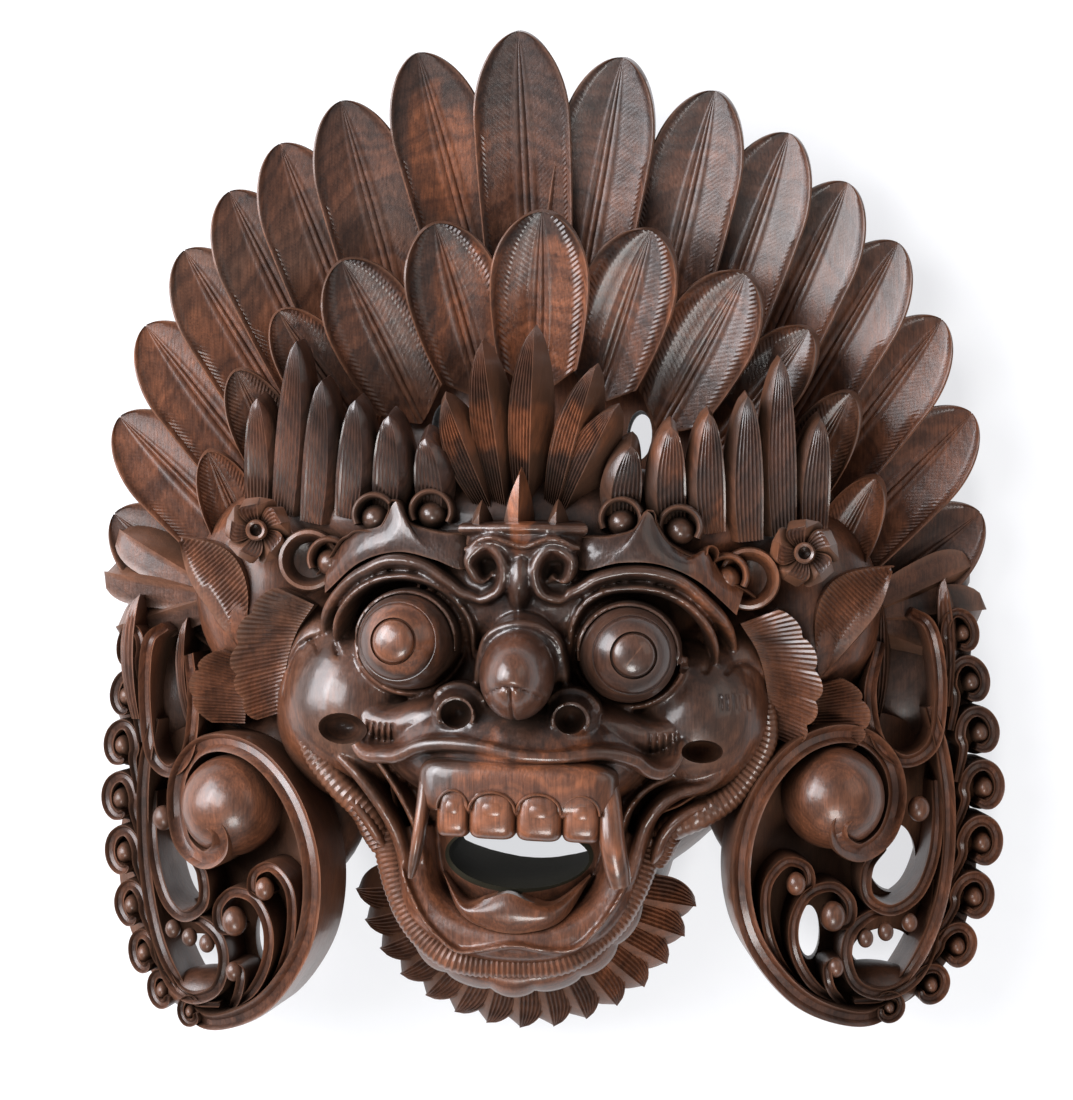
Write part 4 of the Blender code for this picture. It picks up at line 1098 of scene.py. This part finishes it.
# x, y, radius, stretch along its length and turn of the curled leaves on the outer side
leaf_curls = ((105.0, -22.5, 4.6, 1.4, 14), (107.0, -34.5, 5.2, 1.3, 12), (109.0, -47.0, 5.4, 1.25, 10),
              (109.8, -60.5, 5.6, 1.25, 0), (109.0, -74.0, 5.6, 1.25, -5), (106.6, -87.0, 5.4, 1.2, -10),
              (102.0, -98.5, 5.0, 1.2, -25), (95.0, -107.0, 4.6, 1.15, -45),
              (84.5, -111.0, 3.6, 1.1, -70))
# x, y and radius of the drops and balls that close the curls
drops = ((92.9, -64.0, 2.6), (84.0, -92.5, 1.9), (90.0, -91.0, 1.9), (79.0, -93.5, 1.9), (62.6, -79.0, 2.3),
         (71.2, -87.5, 3.0), (71.6, -99.5, 2.0))
narrowing = {-1: 5.0, 1: 0.0}


def hook(x, y, size, stretch, turn):
    """A leaf that leaves the stem and rolls over into a curl."""
    angles = np.radians(np.linspace(205.0, -120.0, 12))
    sizes = size * np.linspace(1.0, 0.5, 12)
    across, along = sizes * np.cos(angles), stretch * sizes * np.sin(angles)
    across, along = np.append(-1.5 * size, across), np.append(-1.9 * size, along)
    c, s = cos(radians(turn)), sin(radians(turn))
    lift = np.linspace(-0.6, 1.2, 13)
    return [(x + c * u - s * v, y + s * u + c * v, w) for u, v, w in zip(across, along, lift)]


def ear_bands():
    """Every scroll band of one ear: path in the picture with its lift, width, depth, ends."""
    rim = ((88, -110, -3), (80, -112.6, 0), (72, -111, 0), (64, -106.5, 0), (57.5, -99.5, 0), (52.5, -91, 0),
           (50.2, -82, 0), (50, -73, 0), (51.8, -64.5, 0), (55.5, -56.5, 0), (61, -50, 0), (67.5, -46, 0),
           (75, -44.8, 0), (81.5, -47.0, 0), (86.4, -53, 0), (87.6, -61, 1), (84.6, -69, 3), (78.5, -72.6, 5),
           (73.6, -70.0, 6.5), (73.0, -65.4, 8.0), (76.2, -63.0, 8.6), (79.6, -64.6, 8.2))
    second = ((64, -105, -6), (58, -96, -1), (55.5, -87, 0), (56, -78.5, 0), (60.5, -73.8, 0),
              (65.2, -75.4, 0), (66, -79.5, 0), (63.2, -81.6, -1))
    third = ((75, -110, -6), (67, -104, -1), (62.5, -96, 0), (62, -88, 0), (65.5, -81.8, 0), (71.5, -80.6, 0),
             (75.6, -84.5, 0), (75.2, -89.4, 0), (71.6, -90.4, -1))
    fourth = ((74, -110, -6), (70.5, -104.5, 0), (69.8, -99.4, 0), (73, -98.2, 0))
    crescent = ((86, -88, -3), (80, -88.5, 0), (75.6, -92, 0), (74.4, -98, 0), (77, -104.6, 0),
                (83.5, -107.4, 0), (90.5, -105, 0), (95, -98.5, 0), (96.5, -90, 0), (97.5, -82, -3))
    upper = ((84.5, -73, -4), (80, -77, 0), (80, -84, 0), (85.5, -87.6, 0), (92, -84.6, 0), (96, -77, 0),
             (97.5, -68, 0), (97.8, -58, -3))
    stem = ((96.5, -40, -3), (99, -50, 1), (100.5, -62, 1), (100, -76, 1), (97.5, -88, 1), (93, -98, 1),
            (86.5, -107.5, -3))
    loop = ((85, -24, -9), (81.5, -36, 0), (83.5, -47.5, 0), (90, -52.4, 0), (96.8, -49, 0), (99.0, -39, 0),
            (98.6, -28, 1), (96.4, -20, 1), (92.5, -17, -5))
    paths = [(rim, 4.8, 22.0, (0.7, 0.5)), (second, 2.5, 18.0, (0.5, 0.5)), (third, 2.7, 18.0, (0.5, 0.5)),
             (fourth, 2.4, 15.0, (0.6, 0.6)), (crescent, 3.0, 18.0, (0.6, 0.8)),
             (upper, 3.0, 18.0, (0.6, 0.8)), (stem, 3.4, 18.0, (0.7, 0.7)), (loop, 3.4, 18.0, (0.8, 0.8))]
    for curl in leaf_curls:
        paths.append((hook(*curl), 0.52 * curl[2], 15.0, (0.6, 0.6)))
    return paths


def pierced_plate(side):
    """The sloping ground behind the scrolls, cut through where daylight shows."""
    holes = ((87, -77, 6.0, 8.5), (84, -99, 7.5, 5.0), (66, -93, 2.6, 6.5), (104, -54, 1.8, 2.4),
             (103.5, -66.5, 1.8, 2.4), (103, -79, 1.8, 2.4), (101, -91, 1.6, 2.2))
    slope = Matrix.Identity(4)
    slope[2][0] = -side * 0.62
    disc = moved(lathe([(1.0, -0.5), (1.0, 0.5)], 64),
                 Matrix.Translation((side * 80, -78, ear_height(80) - 17.0)) @ slope
                 @ Matrix.Diagonal((29, 37, 5, 1)))
    plate = gather("ear_ground", [disc])
    for x, y, half_x, half_y in holes:
        cut_away(plate, [drill(side * x, y, half_x, half_y, -10, 70)])
    return plate


def ear(side):
    across = lambda x: side * (x - narrowing[side] * min(max((x - 85.0) / 24.0, 0.0), 1.0))
    forms = [ball((side * 72.0, -60.0, ear_height(72.0) - 4.0), (12.2, 12.2, 11.8), 56)]
    for path, width, depth, ends in ear_bands():
        forms.append(band([(across(x), y, ear_height(x) + lift) for x, y, lift in path], width, depth,
                          samples=8 * len(path), ends=ends))
    for x, y, size, stretch, _ in leaf_curls:
        forms.append(ball((across(x), y, ear_height(x) - 3.4), (0.42 * size, 0.5 * size, 3.6), 24))
        forms.append(ball((across(x), y, ear_height(x) - 11.0), (0.95 * size, 1.1 * size, 6.0), 24))
    for x, y, size in drops:
        forms.append(ball((across(x), y, ear_height(x) - 0.15 * size), (size, 1.2 * size, size), 28))
    for root_x, root_y, tip_x, tip_y, wide in ((84.0, -44.0, 86.0, -15.0, 5.0),
                                               (101.5, -40.0, 101.0, -9.0, 7.0)):
        sprig = fluted_leaf(30.0, wide, 12.0, flutes=3, flute_depth=0.4, stem=0.6, belly=0.6, point=0.6,
                            keel=1.6, bend=1.5 * side, rows=20)
        forms.append(moved(sprig, leaf_place((across(root_x), root_y, 27), (across(tip_x), tip_y, 26),
                                             30.0, 1.0)))
    forms.append(ball((across(91), -36, 12), (18, 17, 9), 40))
    forms.append(ball((side * 60, -58, 22), (19, 25, 15), 48))
    forms.append(ball((side * 80, -107, ear_height(80) - 13), (12, 6, 9), 40))
    name = "ear_ornament_left" if side < 0 else "ear_ornament_right"
    item = gather(name, forms)
    join_into(item, [pierced_plate(side)])
    floor_cut(item)
    return finish_piece(item, EARS)


for side in (-1, 1):
    ear(side)


# %% [markdown]
# ## Floor, light and camera
# The mask lies on its back on a pale sheet. The camera looks straight down at it from a little
# over half a metre, and a big soft window low on the left gives the long pale glints.

# %% Stage
def make_floor():
    made = bpy.data.materials.new("pale_sheet")
    made.use_nodes = True
    tree = made.node_tree
    surface = tree.nodes["Principled BSDF"]
    where = new_node(tree, "ShaderNodeTexCoord").outputs["Object"]
    fleck = ramp(tree, grain(tree, where, (60.0, 60.0, 60.0), 3.0),
                 ((0.3, (0.27, 0.27, 0.275)), (0.7, (0.29, 0.29, 0.29))))
    tree.links.new(fleck, surface.inputs["Base Color"])
    surface.inputs["Roughness"].default_value = 0.8
    surface.inputs["Emission Color"].default_value = (0.93, 0.94, 0.97, 1.0)
    surface.inputs["Emission Strength"].default_value = 0.74
    mesh = bpy.data.meshes.new("floor")
    reach = 1.5
    mesh.from_pydata([(-reach, -reach, 0), (reach, -reach, 0), (reach, reach, 0), (-reach, reach, 0)],
                     [], [(0, 1, 2, 3)])
    floor = bpy.data.objects.new("floor", mesh)
    mesh.materials.append(made)
    bpy.context.scene.collection.objects.link(floor)


def soft_light(name, place, size, power, tint_colour=(1.0, 1.0, 1.0), target=(0.0, 0.0, 0.03)):
    lamp = bpy.data.lights.new(name, "AREA")
    lamp.shape = "RECTANGLE"
    lamp.size, lamp.size_y = size
    lamp.energy = power
    lamp.color = tint_colour
    item = bpy.data.objects.new(name, lamp)
    item.location = place
    item.rotation_euler = (Vector(target) - Vector(place)).to_track_quat("-Z", "Y").to_euler()
    bpy.context.scene.collection.objects.link(item)


make_floor()
soft_light("window", (-0.80, 0.32, 0.52), (0.9, 0.6), 17.0, (0.94, 0.95, 1.0))
soft_light("side_screen", (-0.36, 0.14, 0.56), (0.3, 0.4), 4.2, (0.97, 0.97, 1.0), (-0.09, 0.03, 0.03))
soft_light("overhead", (0.10, -0.55, 0.80), (0.30, 0.30), 5.0, (1.0, 0.99, 0.97))
soft_light("far_wall", (0.75, 0.35, 0.60), (0.6, 0.6), 1.0, (1.0, 0.96, 0.90))
sky = bpy.data.worlds.new("room_light")
sky.use_nodes = True
sky.node_tree.nodes["Background"].inputs["Color"].default_value = (0.96, 0.97, 1.0, 1.0)
sky.node_tree.nodes["Background"].inputs["Strength"].default_value = 0.33
bpy.context.scene.world = sky
bpy.context.scene.view_settings.view_transform = "Standard"

eye = bpy.data.cameras.new("camera")
eye.lens = 75.0
eye.sensor_width = 36.0
camera = bpy.data.objects.new("camera", eye)
camera_target = Vector((-0.0025739, -0.0022885, 0.030))
camera_distance = 0.56
camera_side = radians(4.4)
camera.location = camera_target + camera_distance * Vector((sin(camera_side), 0.0, cos(camera_side)))
look = camera_target - camera.location
side = look.cross(Vector((0.0, 1.0, 0.0))).normalized()
upward = side.cross(look).normalized()
camera.rotation_euler = Matrix((side, upward, -look.normalized())).transposed().to_euler()
bpy.context.scene.collection.objects.link(camera)
bpy.context.scene.camera = camera
print("camera", tuple(camera.location))
